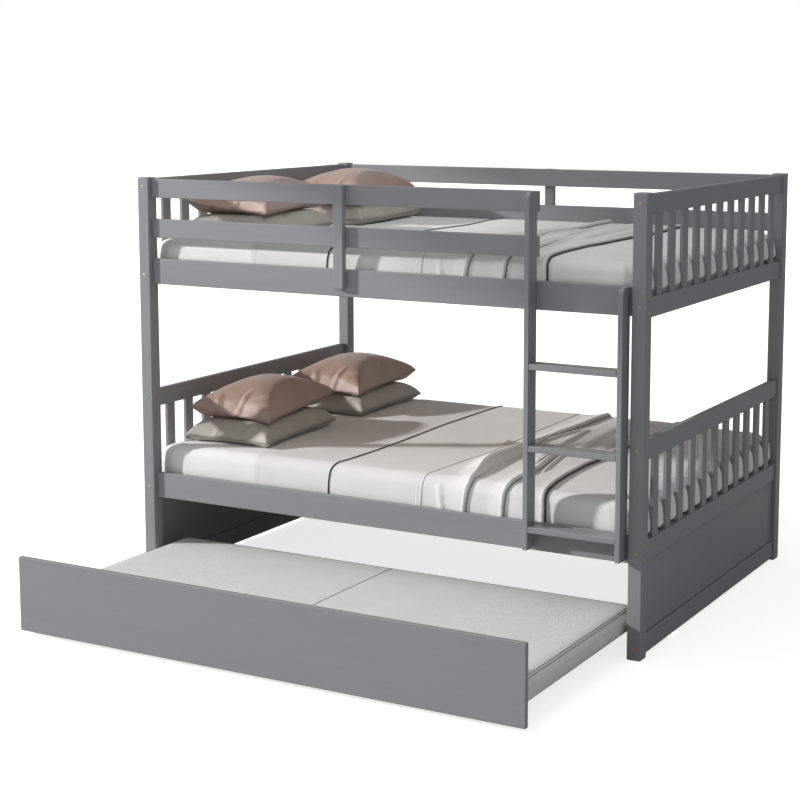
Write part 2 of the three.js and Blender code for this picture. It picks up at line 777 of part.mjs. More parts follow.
// The part's origin is the middle of its footprint on the floor, with the trundle pulled out.
bed.position.set(-bedLength / 2, -(wholeFront + wholeBack) / 2, 0);
const part = new THREE.Group();
part.add(bed);

export default part;
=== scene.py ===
import math

import bmesh
import bpy
import numpy as np
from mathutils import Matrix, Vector


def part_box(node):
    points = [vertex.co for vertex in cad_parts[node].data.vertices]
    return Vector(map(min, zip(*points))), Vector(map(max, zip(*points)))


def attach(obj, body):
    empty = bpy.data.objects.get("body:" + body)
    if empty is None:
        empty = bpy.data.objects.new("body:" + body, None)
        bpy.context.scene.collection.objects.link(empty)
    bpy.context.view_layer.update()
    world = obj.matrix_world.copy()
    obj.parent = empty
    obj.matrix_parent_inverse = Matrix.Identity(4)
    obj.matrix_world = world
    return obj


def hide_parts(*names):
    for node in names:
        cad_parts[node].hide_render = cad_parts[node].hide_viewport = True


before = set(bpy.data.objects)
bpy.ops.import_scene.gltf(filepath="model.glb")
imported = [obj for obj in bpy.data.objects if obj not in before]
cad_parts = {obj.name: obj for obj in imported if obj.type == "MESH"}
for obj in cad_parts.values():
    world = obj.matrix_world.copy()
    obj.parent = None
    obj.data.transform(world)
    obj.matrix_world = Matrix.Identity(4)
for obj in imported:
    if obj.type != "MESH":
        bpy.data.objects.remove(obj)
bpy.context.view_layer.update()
scene = bpy.context.scene
scene.view_settings.view_transform = "Standard"

# Places on the bed are measured in metres from the outer foot of the head post at the front:
# x towards the foot end, y towards the wall, z up.
bedCorner = np.array(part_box("head_front_post")[0])


def onBed(points):
    return np.asarray(points, float) + bedCorner


def boxOnBed(node):
    low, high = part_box(node)
    return np.array(low) - bedCorner, np.array(high) - bedCorner


# Of a mattress: its lowest corner, its middle, half its length and width, and its thickness.
def mattressBox(node):
    low, high = boxOnBed(node)
    return low, (low + high) / 2, (high - low)[:2] / 2, high[2] - low[2]


# Camera, floor and light

# The camera looks down a little, with no more lens shift than the framing needs.
cameraFacts = {"place": (4.0483, -5.076, 1.8531), "turn": 28.9075, "tilt": 7.6593, "focal": 77.7244,
               "shift": (-0.04, -0.1)}
stageFacts = {"floorSize": 60.0, "floorColour": (0.62, 0.62, 0.62), "floorGlow": 0.76, "skyStrength": 0.33,
              "skyColour": (0.95, 0.97, 1.0), "lampAim": (1.0, 0.4, 0.7),
              "glowFar": 0.55, "farFrom": 3.0, "farTo": 12.0}
lightFacts = {
    "key": {"from": (-17.0, -8.3, 8.2), "size": 0.9, "power": 4950, "colour": (1.0, 0.995, 0.99)},
    "front": {"from": (5.0, -6.9, 4.0), "size": 4.0, "power": 18, "colour": (0.98, 0.985, 1.0)},
    "high": {"from": (1.5, -1.2, 3.2), "size": 1.6, "power": 11, "colour": (1.0, 1.0, 1.0)},
    "top": {"from": (1.0, 0.5, 3.8), "size": 2.2, "power": 15.5, "colour": (1.0, 1.0, 1.0)},
}
gauzeFacts = {"x": -2.5, "y": (-7.0, 4.0), "z": (2.667, 8.0), "passes": 0.12}


def makeCamera():
    data = bpy.data.cameras.new("camera")
    camera = bpy.data.objects.new("camera", data)
    scene.collection.objects.link(camera)
    camera.location = onBed(cameraFacts["place"])
    camera.rotation_euler = (math.radians(90 - cameraFacts["tilt"]), 0, math.radians(cameraFacts["turn"]))
    data.lens = cameraFacts["focal"]
    data.sensor_width = 36
    data.shift_x, data.shift_y = cameraFacts["shift"]
    scene.camera = camera


# The floor is a pale grey paper that the camera sees lit up to white, with the object's shadow.
def makeFloor():
    half = stageFacts["floorSize"] / 2
    mesh = bpy.data.meshes.new("floor")
    mesh.from_pydata([(-half, -half, 0), (half, -half, 0), (half, half, 0), (-half, half, 0)], [],
                     [(0, 1, 2, 3)])
    floor = bpy.data.objects.new("floor", mesh)
    scene.collection.objects.link(floor)
    material, nodes, shader = newMaterial("floor_paper")
    shader.inputs["Base Color"].default_value = (*stageFacts["floorColour"], 1)
    shader.inputs["Roughness"].default_value = 0.9
    shader.inputs["Emission Color"].default_value = (1, 1, 1, 1)
    place = nodes.new("ShaderNodeTexCoord")
    distance = vectorNode(nodes, "LENGTH")
    far = rangeNode(nodes, stageFacts["floorGlow"], stageFacts["floorGlow"] + stageFacts["glowFar"])
    far.inputs["From Min"].default_value = stageFacts["farFrom"]
    far.inputs["From Max"].default_value = stageFacts["farTo"]
    rays = nodes.new("ShaderNodeLightPath")
    glow = mathNode(nodes, "MULTIPLY")
    join(place, "Object", distance, 0)
    join(distance, "Value", far, "Value")
    join(far, "Result", glow, 0)
    join(rays, "Is Camera Ray", glow, 1)
    join(glow, 0, shader, "Emission Strength")
    mesh.materials.append(material)


# The sky lights the object softly, and is plain white where the camera or a gloss sees it.
def makeSky():
    world = bpy.data.worlds.new("sky")
    world.use_nodes = True
    scene.world = world
    tree = world.node_tree
    tree.nodes.clear()
    output = tree.nodes.new("ShaderNodeOutputWorld")
    mix = tree.nodes.new("ShaderNodeMixShader")
    rays = tree.nodes.new("ShaderNodeLightPath")
    soft = tree.nodes.new("ShaderNodeBackground")
    soft.inputs["Color"].default_value = (*stageFacts["skyColour"], 1)
    soft.inputs["Strength"].default_value = stageFacts["skyStrength"]
    white = tree.nodes.new("ShaderNodeBackground")
    white.inputs["Color"].default_value = (1, 1, 1, 1)
    join(rays, "Is Camera Ray", mix, "Fac")
    join(soft, 0, mix, 1)
    join(white, 0, mix, 2)
    join(mix, 0, output, "Surface")


def makeLights():
    aim = Vector(onBed(stageFacts["lampAim"]))
    for name, facts in lightFacts.items():
        data = bpy.data.lights.new(name, "AREA")
        data.size = facts["size"]
        data.energy = facts["power"]
        data.color = facts["colour"]
        light = bpy.data.objects.new(name, data)
        light.location = onBed(facts["from"])
        light.rotation_euler = (aim - light.location).to_track_quat("-Z", "Y").to_euler()
        light.visible_camera = False
        scene.collection.objects.link(light)


# A gauze beside the key lamp dims its light over the upper foot end of the bed.
def makeGauze():
    x, (front, back), (low, high) = (gauzeFacts[key] for key in "xyz")
    mesh = bpy.data.meshes.new("gauze")
    corners = [(x, front, low), (x, back, low), (x, back, high), (x, front, high)]
    mesh.from_pydata(onBed(corners), [], [(0, 1, 2, 3)])
    gauze = bpy.data.objects.new("gauze", mesh)
    scene.collection.objects.link(gauze)
    material = bpy.data.materials.new("lamp_gauze")
    material.use_nodes = True
    nodes = material.node_tree.nodes
    nodes.clear()
    clear = nodes.new("ShaderNodeBsdfTransparent")
    clear.inputs["Color"].default_value = (gauzeFacts["passes"],) * 3 + (1,)
    output = nodes.new("ShaderNodeOutputMaterial")
    join(clear, 0, output, "Surface")
    mesh.materials.append(material)
    gauze.visible_camera = gauze.visible_diffuse = gauze.visible_glossy = False


# Helpers for materials

def join(source, output, node, socket):
    node.id_data.links.new(source.outputs[output], node.inputs[socket])


def newMaterial(name):
    material = bpy.data.materials.new(name)
    material.use_nodes = True
    nodes = material.node_tree.nodes
    return material, nodes, nodes["Principled BSDF"]


def newGroup(name, inputs, outputs):
    group = bpy.data.node_groups.new(name, "ShaderNodeTree")
    for label, kind, value in inputs:
        socket = group.interface.new_socket(label, in_out="INPUT", socket_type=kind)
        socket.default_value = value
    for label, kind in outputs:
        group.interface.new_socket(label, in_out="OUTPUT", socket_type=kind)
    start = group.nodes.new("NodeGroupInput")
    end = group.nodes.new("NodeGroupOutput")
    return group, start, end


def noiseNode(nodes, scale, detail, roughness=0.6):
    noise = nodes.new("ShaderNodeTexNoise")
    noise.inputs["Scale"].default_value = scale
    noise.inputs["Detail"].default_value = detail
    noise.inputs["Roughness"].default_value = roughness
    return noise


def rampNode(nodes, low, high, start=0.3, end=0.7):
    ramp = nodes.new("ShaderNodeValToRGB")
    ramp.color_ramp.elements[0].position = start
    ramp.color_ramp.elements[0].color = (*low, 1)
    ramp.color_ramp.elements[1].position = end
    ramp.color_ramp.elements[1].color = (*high, 1)
    return ramp


def mathNode(nodes, operation, second=None, clamp=False):
    node = nodes.new("ShaderNodeMath")
    node.operation = operation
    node.use_clamp = clamp
    if second is not None:
        node.inputs[1].default_value = second
    return node


def rangeNode(nodes, low, high):
    node = nodes.new("ShaderNodeMapRange")
    node.inputs["To Min"].default_value = low
    node.inputs["To Max"].default_value = high
    return node


def vectorNode(nodes, operation):
    node = nodes.new("ShaderNodeVectorMath")
    node.operation = operation
    return node


# The material's colour: over covers the ramp's colour where the mask is 1.
def coverColour(nodes, shader, ramp, mask, output, over):
    mix = nodes.new("ShaderNodeMix")
    mix.data_type = "RGBA"
    mix.inputs["B"].default_value = (*over, 1)
    join(mask, output, mix, "Factor")
    join(ramp, "Color", mix, "A")
    join(mix, "Result", shader, "Base Color")


def bumpNode(nodes, distance, strength=1.0):
    bump = nodes.new("ShaderNodeBump")
    bump.inputs["Strength"].default_value = strength
    bump.inputs["Distance"].default_value = distance
    return bump


# Wood

# Grain: noise drawn out along the board, as fine lines and broad cloudy bands.
def makeGrainGroup():
    group, start, end = newGroup(
        "woodGrain",
        [("Stretch", "NodeSocketVector", (1, 1, 1))],
        [("Shade", "NodeSocketFloat"), ("Lines", "NodeSocketFloat"), ("Height", "NodeSocketFloat")],
    )
    place = group.nodes.new("ShaderNodeTexCoord")
    drawn = vectorNode(group.nodes, "MULTIPLY")
    join(place, "Object", drawn, 0)
    join(start, "Stretch", drawn, 1)
    for label, scale, detail in (("Height", 240, 5), ("Lines", 70, 4), ("Shade", 9, 3)):
        noise = noiseNode(group.nodes, scale, detail)
        join(drawn, 0, noise, "Vector")
        join(noise, "Fac", end, label)
    return group


# Painted highlight along edges: the mask is 1 where a rounded normal leaves the flat one, which is along edges
# and corners, and there the colour is lightened; the rounded normal also rounds the real shading of the edges.
def makeEdgeHighlightGroup():
    group, start, end = newGroup(
        "edgeHighlight",
        [("Radius", "NodeSocketFloat", 0.003)],
        [("Mask", "NodeSocketFloat"), ("Normal", "NodeSocketVector")],
    )
    bevel = group.nodes.new("ShaderNodeBevel")
    bevel.samples = 4
    join(start, "Radius", bevel, "Radius")
    flat = group.nodes.new("ShaderNodeNewGeometry")
    along = vectorNode(group.nodes, "DOT_PRODUCT")
    join(bevel, "Normal", along, 0)
    join(flat, "Normal", along, 1)
    away = mathNode(group.nodes, "SUBTRACT")
    away.inputs[0].default_value = 1
    join(along, "Value", away, 1)
    more = mathNode(group.nodes, "MULTIPLY", 6, clamp=True)
    join(away, 0, more, 0)
    join(more, 0, end, "Mask")
    join(bevel, "Normal", end, "Normal")
    return group


# In paint and pine, the edge colour is a painted highlight along edges and corners.
paintFacts = {"light": (0.274, 0.275, 0.289), "dark": (0.258, 0.259, 0.273), "edge": (0.33, 0.33, 0.345),
              "roughness": 0.42, "glossier": 0.05, "duller": 0.09, "grainDepth": 0.00012,
              "edgeRadius": 0.0022}
pineFacts = {"light": (0.72, 0.55, 0.34), "dark": (0.56, 0.38, 0.19), "edge": (0.76, 0.6, 0.4),
             "roughness": 0.55, "glossier": 0.05, "duller": 0.09, "grainDepth": 0.0002, "edgeRadius": 0.0015}


def woodMaterial(name, facts, stretch):
    material, nodes, shader = newMaterial(name)
    grain = nodes.new("ShaderNodeGroup")
    grain.node_tree = grainGroup
    grain.inputs["Stretch"].default_value = stretch
    edge = nodes.new("ShaderNodeGroup")
    edge.node_tree = edgeHighlightGroup
    edge.inputs["Radius"].default_value = facts["edgeRadius"]
    blend = mathNode(nodes, "MULTIPLY_ADD", 0.5)
    half = mathNode(nodes, "MULTIPLY", 0.5)
    join(grain, "Lines", half, 0)
    join(grain, "Shade", blend, 0)
    join(half, 0, blend, 2)
    ramp = rampNode(nodes, facts["dark"], facts["light"], 0.36, 0.64)
    join(blend, 0, ramp, "Fac")
    # Painted highlight: edges and corners take the lighter edge colour.
    coverColour(nodes, shader, ramp, edge, "Mask", facts["edge"])
    rough = rangeNode(nodes, facts["roughness"] - facts["glossier"], facts["roughness"] + facts["duller"])
    join(grain, "Shade", rough, "Value")
    join(rough, "Result", shader, "Roughness")
    bump = bumpNode(nodes, facts["grainDepth"], 0.6)
    join(grain, "Height", bump, "Height")
    join(edge, "Normal", bump, "Normal")
    join(bump, "Normal", shader, "Normal")
    return material


# Metal and rubber

hardwareFacts = {
    "zinc_steel": {"colour": (0.62, 0.62, 0.6), "metallic": 1.0, "roughness": 0.34, "worn": 0.12},
    "yellow_zinc": {"colour": (0.55, 0.5, 0.3), "metallic": 1.0, "roughness": 0.32, "worn": 0.12},
    "copper_plug": {"colour": (0.8, 0.36, 0.14), "metallic": 0.6, "roughness": 0.38, "worn": 0.1},
    "black_rubber": {"colour": (0.03, 0.03, 0.032), "metallic": 0.0, "roughness": 0.62, "worn": 0.15},
}


# Handled metal and rubber: the gloss varies in small patches.
def hardwareMaterial(name, facts):
    material, nodes, shader = newMaterial(name)
    shader.inputs["Base Color"].default_value = (*facts["colour"], 1)
    shader.inputs["Metallic"].default_value = facts["metallic"]
    place = nodes.new("ShaderNodeTexCoord")
    noise = noiseNode(nodes, 60, 3)
    rough = rangeNode(nodes, facts["roughness"] - facts["worn"] / 2, facts["roughness"] + facts["worn"] / 2)
    join(place, "Object", noise, "Vector")
    join(noise, "Fac", rough, "Value")
    join(rough, "Result", shader, "Roughness")
    return material


# Cloth

# Weave: crossed threads in the cloth's own coordinates, in metres, and thicker threads here and there.
def makeWeaveGroup():
    group, start, end = newGroup(
        "weave",
        [("Place", "NodeSocketVector", (0, 0, 0)), ("Pitch", "NodeSocketFloat", 0.0006)],
        [("Height", "NodeSocketFloat"), ("Slub", "NodeSocketFloat"), ("Cloud", "NodeSocketFloat")],
    )
    nodes = group.nodes
    turns = mathNode(nodes, "DIVIDE")
    turns.inputs[0].default_value = 2 * math.pi
    join(start, "Pitch", turns, 1)
    wide = vectorNode(nodes, "SCALE")
    join(start, "Place", wide, 0)
    join(turns, 0, wide, "Scale")
    parts = nodes.new("ShaderNodeSeparateXYZ")
    join(wide, 0, parts, 0)
    both = mathNode(nodes, "ADD")
    for i, label in enumerate(("X", "Y")):
        wave = mathNode(nodes, "SINE")
        join(parts, label, wave, 0)
        join(wave, 0, both, i)
    join(both, 0, end, "Height")
    drawn = vectorNode(nodes, "MULTIPLY")
    drawn.inputs[1].default_value = (1, 12, 1)
    join(start, "Place", drawn, 0)
    for label, source, output, scale in (("Slub", drawn, 0, 60), ("Cloud", start, "Place", 7)):
        noise = noiseNode(nodes, scale, 3)
        join(source, output, noise, "Vector")
        join(noise, "Fac", end, label)
    return group


# A cloth's line colour darkens its seams, and is painted shade in the blanket's creases and the trundle
# mattress's middle groove.
clothFacts = {
    "sheet": {"light": (0.89, 0.88, 0.875), "dark": (0.85, 0.84, 0.835), "roughness": 0.85, "sheen": 0.05,
              "pitch": 0.0006, "thread": 0.00012, "crease": 0.0012, "line": (0.55, 0.54, 0.54)},
    "topSheet": {"light": (0.81, 0.785, 0.785), "dark": (0.77, 0.745, 0.745), "roughness": 0.85, "sheen": 0.05,
                 "pitch": 0.0006, "thread": 0.00012, "crease": 0.0012, "line": (0.5, 0.48, 0.48)},
    "blanket": {"light": (0.86, 0.84, 0.835), "dark": (0.82, 0.8, 0.795), "roughness": 0.9, "sheen": 0.12,
                "pitch": 0.0011, "thread": 0.00025, "crease": 0.0016, "line": (0.075, 0.072, 0.075)},
    "taupe": {"light": (0.49, 0.455, 0.4), "dark": (0.42, 0.385, 0.33), "roughness": 0.45, "sheen": 0.25,
              "pitch": 0.0005, "thread": 0.00008, "crease": 0.0012, "line": (0.09, 0.075, 0.06)},
    "rose": {"light": (0.47, 0.33, 0.275), "dark": (0.4, 0.265, 0.215), "roughness": 0.42, "sheen": 0.25,
             "pitch": 0.0005, "thread": 0.00008, "crease": 0.0012, "line": (0.1, 0.05, 0.04)},
    "trundleCover": {"light": (0.79, 0.79, 0.775), "dark": (0.74, 0.74, 0.73), "roughness": 0.9, "sheen": 0.08,
                     "pitch": 0.0013, "thread": 0.0003, "crease": 0.0016, "line": (0.16, 0.16, 0.155)},
    "cord": {"light": (0.075, 0.072, 0.075), "dark": (0.055, 0.053, 0.056), "roughness": 0.8, "sheen": 0.1,
             "pitch": 0.0008, "thread": 0.0002, "crease": 0.0003, "line": (0.03, 0.03, 0.03)},
    "dimCord": {"light": (0.24, 0.24, 0.23), "dark": (0.2, 0.2, 0.19), "roughness": 0.85, "sheen": 0.1,
                "pitch": 0.0008, "thread": 0.0002, "crease": 0.0003, "line": (0.1, 0.1, 0.1)},
}


def clothMaterial(name, facts):
    material, nodes, shader = newMaterial(name)
    place = nodes.new("ShaderNodeAttribute")
    place.attribute_name = "clothPlace"
    weave = nodes.new("ShaderNodeGroup")
    weave.node_tree = weaveGroup
    weave.inputs["Pitch"].default_value = facts["pitch"]
    join(place, "Vector", weave, "Place")
    mixed = mathNode(nodes, "MULTIPLY_ADD", 0.35)
    most = mathNode(nodes, "MULTIPLY", 0.65)
    join(weave, "Cloud", most, 0)
    join(weave, "Slub", mixed, 0)
    join(most, 0, mixed, 2)
    ramp = rampNode(nodes, facts["dark"], facts["light"], 0.35, 0.65)
    join(mixed, 0, ramp, "Fac")
    # The line attribute darkens the colour along seams, and as painted shade in creases and grooves.
    line = nodes.new("ShaderNodeAttribute")
    line.attribute_name = "line"
    coverColour(nodes, shader, ramp, line, "Fac", facts["line"])
    shader.inputs["Roughness"].default_value = facts["roughness"]
    shader.inputs["Sheen Weight"].default_value = facts["sheen"]
    shader.inputs["Sheen Roughness"].default_value = 0.4
    creases = noiseNode(nodes, 16, 3, 0.5)
    join(place, "Vector", creases, "Vector")
    soft = bumpNode(nodes, facts["crease"], 0.7)
    join(creases, "Fac", soft, "Height")
    threads = bumpNode(nodes, facts["thread"], 0.5)
    join(weave, "Height", threads, "Height")
    join(soft, "Normal", threads, "Normal")
    join(threads, "Normal", shader, "Normal")
    return material


# Surfaces as grids of points

def gridFaces(rows, columns, closedRows=False, closedColumns=False):
    r = np.arange(rows if closedRows else rows - 1)
    c = np.arange(columns if closedColumns else columns - 1)
    r, c = np.meshgrid(r, c, indexing="ij")
    nextRow, nextColumn = (r + 1) % rows, (c + 1) % columns
    corners = [r * columns + c, r * columns + nextColumn,
               nextRow * columns + nextColumn, nextRow * columns + c]
    return np.stack(corners, -1).reshape(-1, 4)


# Makes a smooth piece. place is each point's position on the flat cloth, line how dark its lines are: seams,
# and painted shade in creases and grooves.
def newPiece(name, points, faces, material, body="bed_frame", place=None, line=None, weld=False):
    mesh = bpy.data.meshes.new(name)
    mesh.from_pydata(onBed(points.reshape(-1, 3)), [], faces.tolist())
    if place is not None:
        layer = mesh.attributes.new("clothPlace", "FLOAT_VECTOR", "POINT")
        layer.data.foreach_set("vector", np.ascontiguousarray(place, dtype=np.float32).ravel())
        layer = mesh.attributes.new("line", "FLOAT", "POINT")
        dark = np.zeros(len(mesh.vertices)) if line is None else np.asarray(line, float).ravel()
        layer.data.foreach_set("value", dark.astype(np.float32))
    piece = bpy.data.objects.new(name, mesh)
    scene.collection.objects.link(piece)
    if weld:
        work = bmesh.new()
        work.from_mesh(mesh)
        bmesh.ops.remove_doubles(work, verts=work.verts, dist=0.00002)
        bmesh.ops.recalc_face_normals(work, faces=work.faces)
        work.to_mesh(mesh)
        work.free()
    mesh.polygons.foreach_set("use_smooth", np.ones(len(mesh.polygons), dtype=bool))
    mesh.materials.append(material)
    mesh.update()
    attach(piece, body)
    return piece


def flatPlace(across, along):
    across, along = np.broadcast_arrays(across, along)
    return np.stack([across, along, np.zeros(across.shape)], -1).reshape(-1, 3)


def thicken(piece, thickness):
    shell = piece.modifiers.new("thickness", "SOLIDIFY")
    shell.thickness = thickness
    shell.offset = 0


# Gentle unevenness: a sum of five sine waves in fixed directions, from -1 to 1.
def ripple(x, y, size, seed):
    value = 0
    for k in range(5):
        turn = seed + 2.4 * k
        waves = 2 * math.pi / (size * (1 + 0.37 * k))
        value = value + np.sin(waves * (x * math.cos(turn) + y * math.sin(turn)) + 1.7 * k + 3 * seed)
    return value / 5


# Mattresses

bunkMattressFacts = {"corner": 0.062, "edge": 0.045, "edgeWidth": 0.045, "foot": 0.014, "crown": 0.006,
                     "bulge": 0.004, "dents": 0.0015, "pucker": 0.0022, "step": 0.016, "endStep": 0.0075}
trundleMattressFacts = {"corner": 0.04, "edge": 0.03, "edgeWidth": 0.058, "foot": 0.006, "crown": 0.004,
                        "bulge": 0.003, "dents": 0.0012, "pucker": 0.0, "step": 0.016, "endStep": 0.016,
                        "seamDepth": 0.003, "seamWidth": 0.0025}
mattressFacts = {"lower": {**bunkMattressFacts, "backRise": 0.0},
                 "upper": {**bunkMattressFacts, "backRise": 0.009},
                 "trundle": {**trundleMattressFacts, "backRise": 0.0}}
# The ends of a bunk mattress press against the end slats and bulge between them.
pressFacts = {"deep": 0.03, "bulge": 0.016, "aboveRail": 0.003, "ramp": 0.022, "halfGap": 0.033}


# Height over the flat top: a low crown that falls off in half a metre from each edge, and dents.
def topRise(x, y, half, facts):
    across = np.clip((half[1] - facts["edge"] - np.abs(y)) / (half[1] - facts["edge"]), 0, 1)
    along = np.clip((half[0] - facts["edge"] - np.abs(x)) / (half[1] - facts["edge"]), 0, 1)
    crown = facts["crown"] * (1 - (1 - across) ** 2) * (1 - (1 - along) ** 2)
    fade = np.clip(5 * across, 0, 1) * np.clip(5 * along, 0, 1)
    back = np.clip((y / half[1] - 0.45) / 0.45, 0, 1)
    back = facts["backRise"] * back ** 2 * (3 - 2 * back)
    return crown + back + facts["dents"] * fade * ripple(x, y, 0.45, 1.0)


# A straight run between two corners, with closer points round its middle where a seam crosses it.
def straightRun(length, step, fine):
    count = max(2, round(length / step))
    shares = np.linspace(0, 1, count + 1)[1:-1]
    if fine:
        near = 0.5 + np.array([-9, -6, -4, -3, -2, -1, 0, 1, 2, 3, 4, 6, 9]) * 0.001 / length
        shares = np.sort(np.concatenate([shares[np.abs(shares - 0.5) * length > 0.011], near]))
    return shares


# Outline of a rounded rectangle, as points of its inner rectangle and the directions out from them.
def outline(half, corner, step, endStep, fine=False):
    inner = np.array(half) - corner
    signs = [(1, 1), (-1, 1), (-1, -1), (1, -1)]
    cores, outs = [], []
    for k in range(4):
        angle = np.linspace(0, math.pi / 2, 11) + k * math.pi / 2
        here, there = inner * signs[k], inner * signs[(k + 1) % 4]
        cores.append(np.tile(here, (len(angle), 1)))
        outs.append(np.stack([np.cos(angle), np.sin(angle)], 1))
        run = step if k % 2 == 0 else endStep
        share = straightRun(np.linalg.norm(there - here), run, fine and k % 2 == 0)[:, None]
        cores.append(here + share * (there - here))
        outs.append(np.tile(outs[-1][-1], (len(share), 1)))
    return np.concatenate(cores), np.concatenate(outs), inner


# The mattress is drawn as rings: over its underside, up its side, round its top edge and in to the
# middle. Each ring is the outline drawn in by inset, at its height; up tells how far it faces up.
def mattressRings(half, thick, facts):
    shoulder = thick - facts["crown"] - facts["edge"]
    reach = half[1]
    turn = np.linspace(0, math.pi / 2, 6)
    rings = [(inset, 0, -1) for inset in np.linspace(reach, 2 * facts["foot"], 7)]
    foot = facts["foot"]
    rings += [(foot * (1 - math.sin(a)), foot * (1 - math.cos(a)), -math.cos(a)) for a in turn]
    for t in np.linspace(0, 1, 10)[1:-1]:
        rings.append((-facts["bulge"] * math.sin(math.pi * t), foot + t * (shoulder - foot), 0))
    turn = np.linspace(0, math.pi / 2, 11)
    wide = facts["edgeWidth"]
    rings += [(wide * (1 - math.cos(a)), shoulder + facts["edge"] * math.sin(a), math.sin(a)) for a in turn]
    count = round((reach - wide) / facts["step"])
    rings += [(inset, thick - facts["crown"], 1) for inset in np.linspace(wide, reach, count + 1)[1:]]
    return np.array(rings)


# How far an end of the mattress is pushed out, by the place across the bed and the height: all along
# by deep, and more in the middle of each gap between the end slats, from just above the end rail.
def endPress(across, height, slats, railTop):
    gaps = len(slats) + 1
    pitch = (slats[-1] - slats[0]) / (len(slats) - 1)
    middles = slats[0] - pitch / 2 + pitch * np.arange(gaps)
    off = np.abs(across[..., None] - middles).min(-1) / pressFacts["halfGap"]
    hump = np.clip(1 - off ** 2, 0, 1) ** 2
    rise = np.clip((height - railTop - pressFacts["aboveRail"]) / pressFacts["ramp"], 0, 1)
    return np.sin(rise * math.pi / 2) * (pressFacts["deep"] + pressFacts["bulge"] * hump)


endSlatFacts = {"count": 11, "width": 0.045, "railHeight": 0.066}


# Middles of the end slats across the bed, and the top of the end frame's lower rail.
def endSlats(level):
    low, high = boxOnBed(f"foot_{level}_frame")
    count, width = endSlatFacts["count"], endSlatFacts["width"]
    gap = (high[1] - low[1] - count * width) / (count + 1)
    return low[1] + gap + width / 2 + (gap + width) * np.arange(count), low[2] + endSlatFacts["railHeight"]


def makeMattress(name, node, facts, material, body, seam=False, ends=None):
    low, middle, half, thick = mattressBox(node)
    core, out, inner = outline(half, facts["corner"], facts["step"], facts["endStep"], seam)
    inset, height, up = (column[:, None] for column in mattressRings(half, thick, facts).T)
    past = np.maximum(inset - facts["corner"], 0)
    left = facts["corner"] - np.minimum(inset, facts["corner"])
    x = core[:, 0] * (inner[0] - past) / inner[0] + left * out[:, 0]
    y = core[:, 1] * np.maximum(inner[1] - past, 0) / inner[1] + left * out[:, 1]
    z = height + np.maximum(up, 0) * topRise(x, y, half, facts)
    side = np.sqrt(np.maximum(1 - up ** 2, 0))
    run = np.cumsum(np.hypot(*np.diff(core + facts["corner"] * out, axis=0, prepend=core[:1]).T))
    toCorner = np.hypot(half[0] - np.abs(x), half[1] - np.abs(y))
    gather = facts["pucker"] * np.exp(-(toCorner / 0.13) ** 2) * np.sin(2 * math.pi * run / 0.031)
    gather = gather * np.clip(1 - np.maximum(inset - facts["edge"], 0) / 0.05, 0, 1)
    waves = 0.0012 * side * ripple(run + 0 * z, 2 * z, 0.33, 2.0)
    push = np.where(up < 0, 0, gather + waves)
    press = 0 * z
    if ends:
        straight = np.clip((np.abs(out[:, 0]) - 0.55) / 0.3, 0, 1) * np.sign(out[:, 0])
        press = np.where(up < 0, 0, side * straight * endPress(y + middle[1], height + low[2], *ends))
    line = 0 * z
    if seam:
        # A groove across the middle, its colour darkened as painted shade in the groove.
        groove = np.exp(-(x / facts["seamWidth"]) ** 2)
        push = push - facts["seamDepth"] * groove
        line = 0.85 * np.exp(-(x / 0.0016) ** 2)
    x, y, z = x + press + push * side * out[:, 0], y + push * side * out[:, 1], z + push * np.maximum(up, 0)
    points = np.stack([x + middle[0], y + middle[1], z + low[2]], -1)
    place = flatPlace(x - out[:, 0] * z, y - out[:, 1] * z)
    piece = newPiece(name, points, gridFaces(*x.shape, closedColumns=True), material, body,
                     place, line, weld=True)
    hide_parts(node)


# Cords: round tubes along a line of points.
def tube(name, path, radius, material, body, closed=False, sides=8):
    ahead = np.roll(path, -1, 0) - np.roll(path, 1, 0)
    if not closed:
        ahead[0], ahead[-1] = path[1] - path[0], path[-1] - path[-2]
    ahead /= np.linalg.norm(ahead, axis=1)[:, None]
    guide = np.where(np.abs(ahead[:, 2:3]) < 0.9, [[0.0, 0.0, 1.0]], [[1.0, 0.0, 0.0]])
    if np.ptp(guide, axis=0).max() > 0:
        guide = np.tile([[1.0, 0.0, 0.0]], (len(path), 1))
    one = np.cross(ahead, guide)
    one /= np.linalg.norm(one, axis=1)[:, None]
    two = np.cross(one, ahead)
    angle = np.linspace(0, 2 * math.pi, sides, endpoint=False)
    ring = one[:, None] * np.cos(angle)[:, None] + two[:, None] * np.sin(angle)[:, None]
    points = path[:, None] + radius * ring
    run = np.cumsum(np.linalg.norm(np.diff(path, axis=0, prepend=path[:1]), axis=1))
    place = flatPlace(run[:, None], radius * angle)
    faces = gridFaces(len(path), sides, closed, True)
    return newPiece(name, points, faces, material, body, place, weld=True)


# Piping round a mattress: each cord follows the outline at an angle up the top edge, 0 where the edge
# starts to turn in and 90 on top, or along the bottom edge.
trundlePipingFacts = {"angles": {"upper": 58, "lower": 46}, "base": 0.0035, "radius": 0.0013}


def makePiping(name, node, facts, piping, body):
    low, middle, half, thick = mattressBox(node)
    core, out, _ = outline(half, facts["corner"], facts["step"], facts["endStep"])
    shoulder = thick - facts["crown"] - facts["edge"]
    places = {"base": (facts["foot"] * 0.2, piping["base"])}
    for label, angle in piping["angles"].items():
        a = math.radians(angle)
        places[label] = facts["edgeWidth"] * (1 - math.cos(a)), shoulder + facts["edge"] * math.sin(a)
    for label, (inset, height) in places.items():
        ring = core + (facts["corner"] - inset) * out + middle[:2]
        path = np.column_stack([ring, np.full(len(ring), low[2] + height)])
        tube(f"{name}_{label}", path, piping["radius"], cloths["dimCord"], body, closed=True)


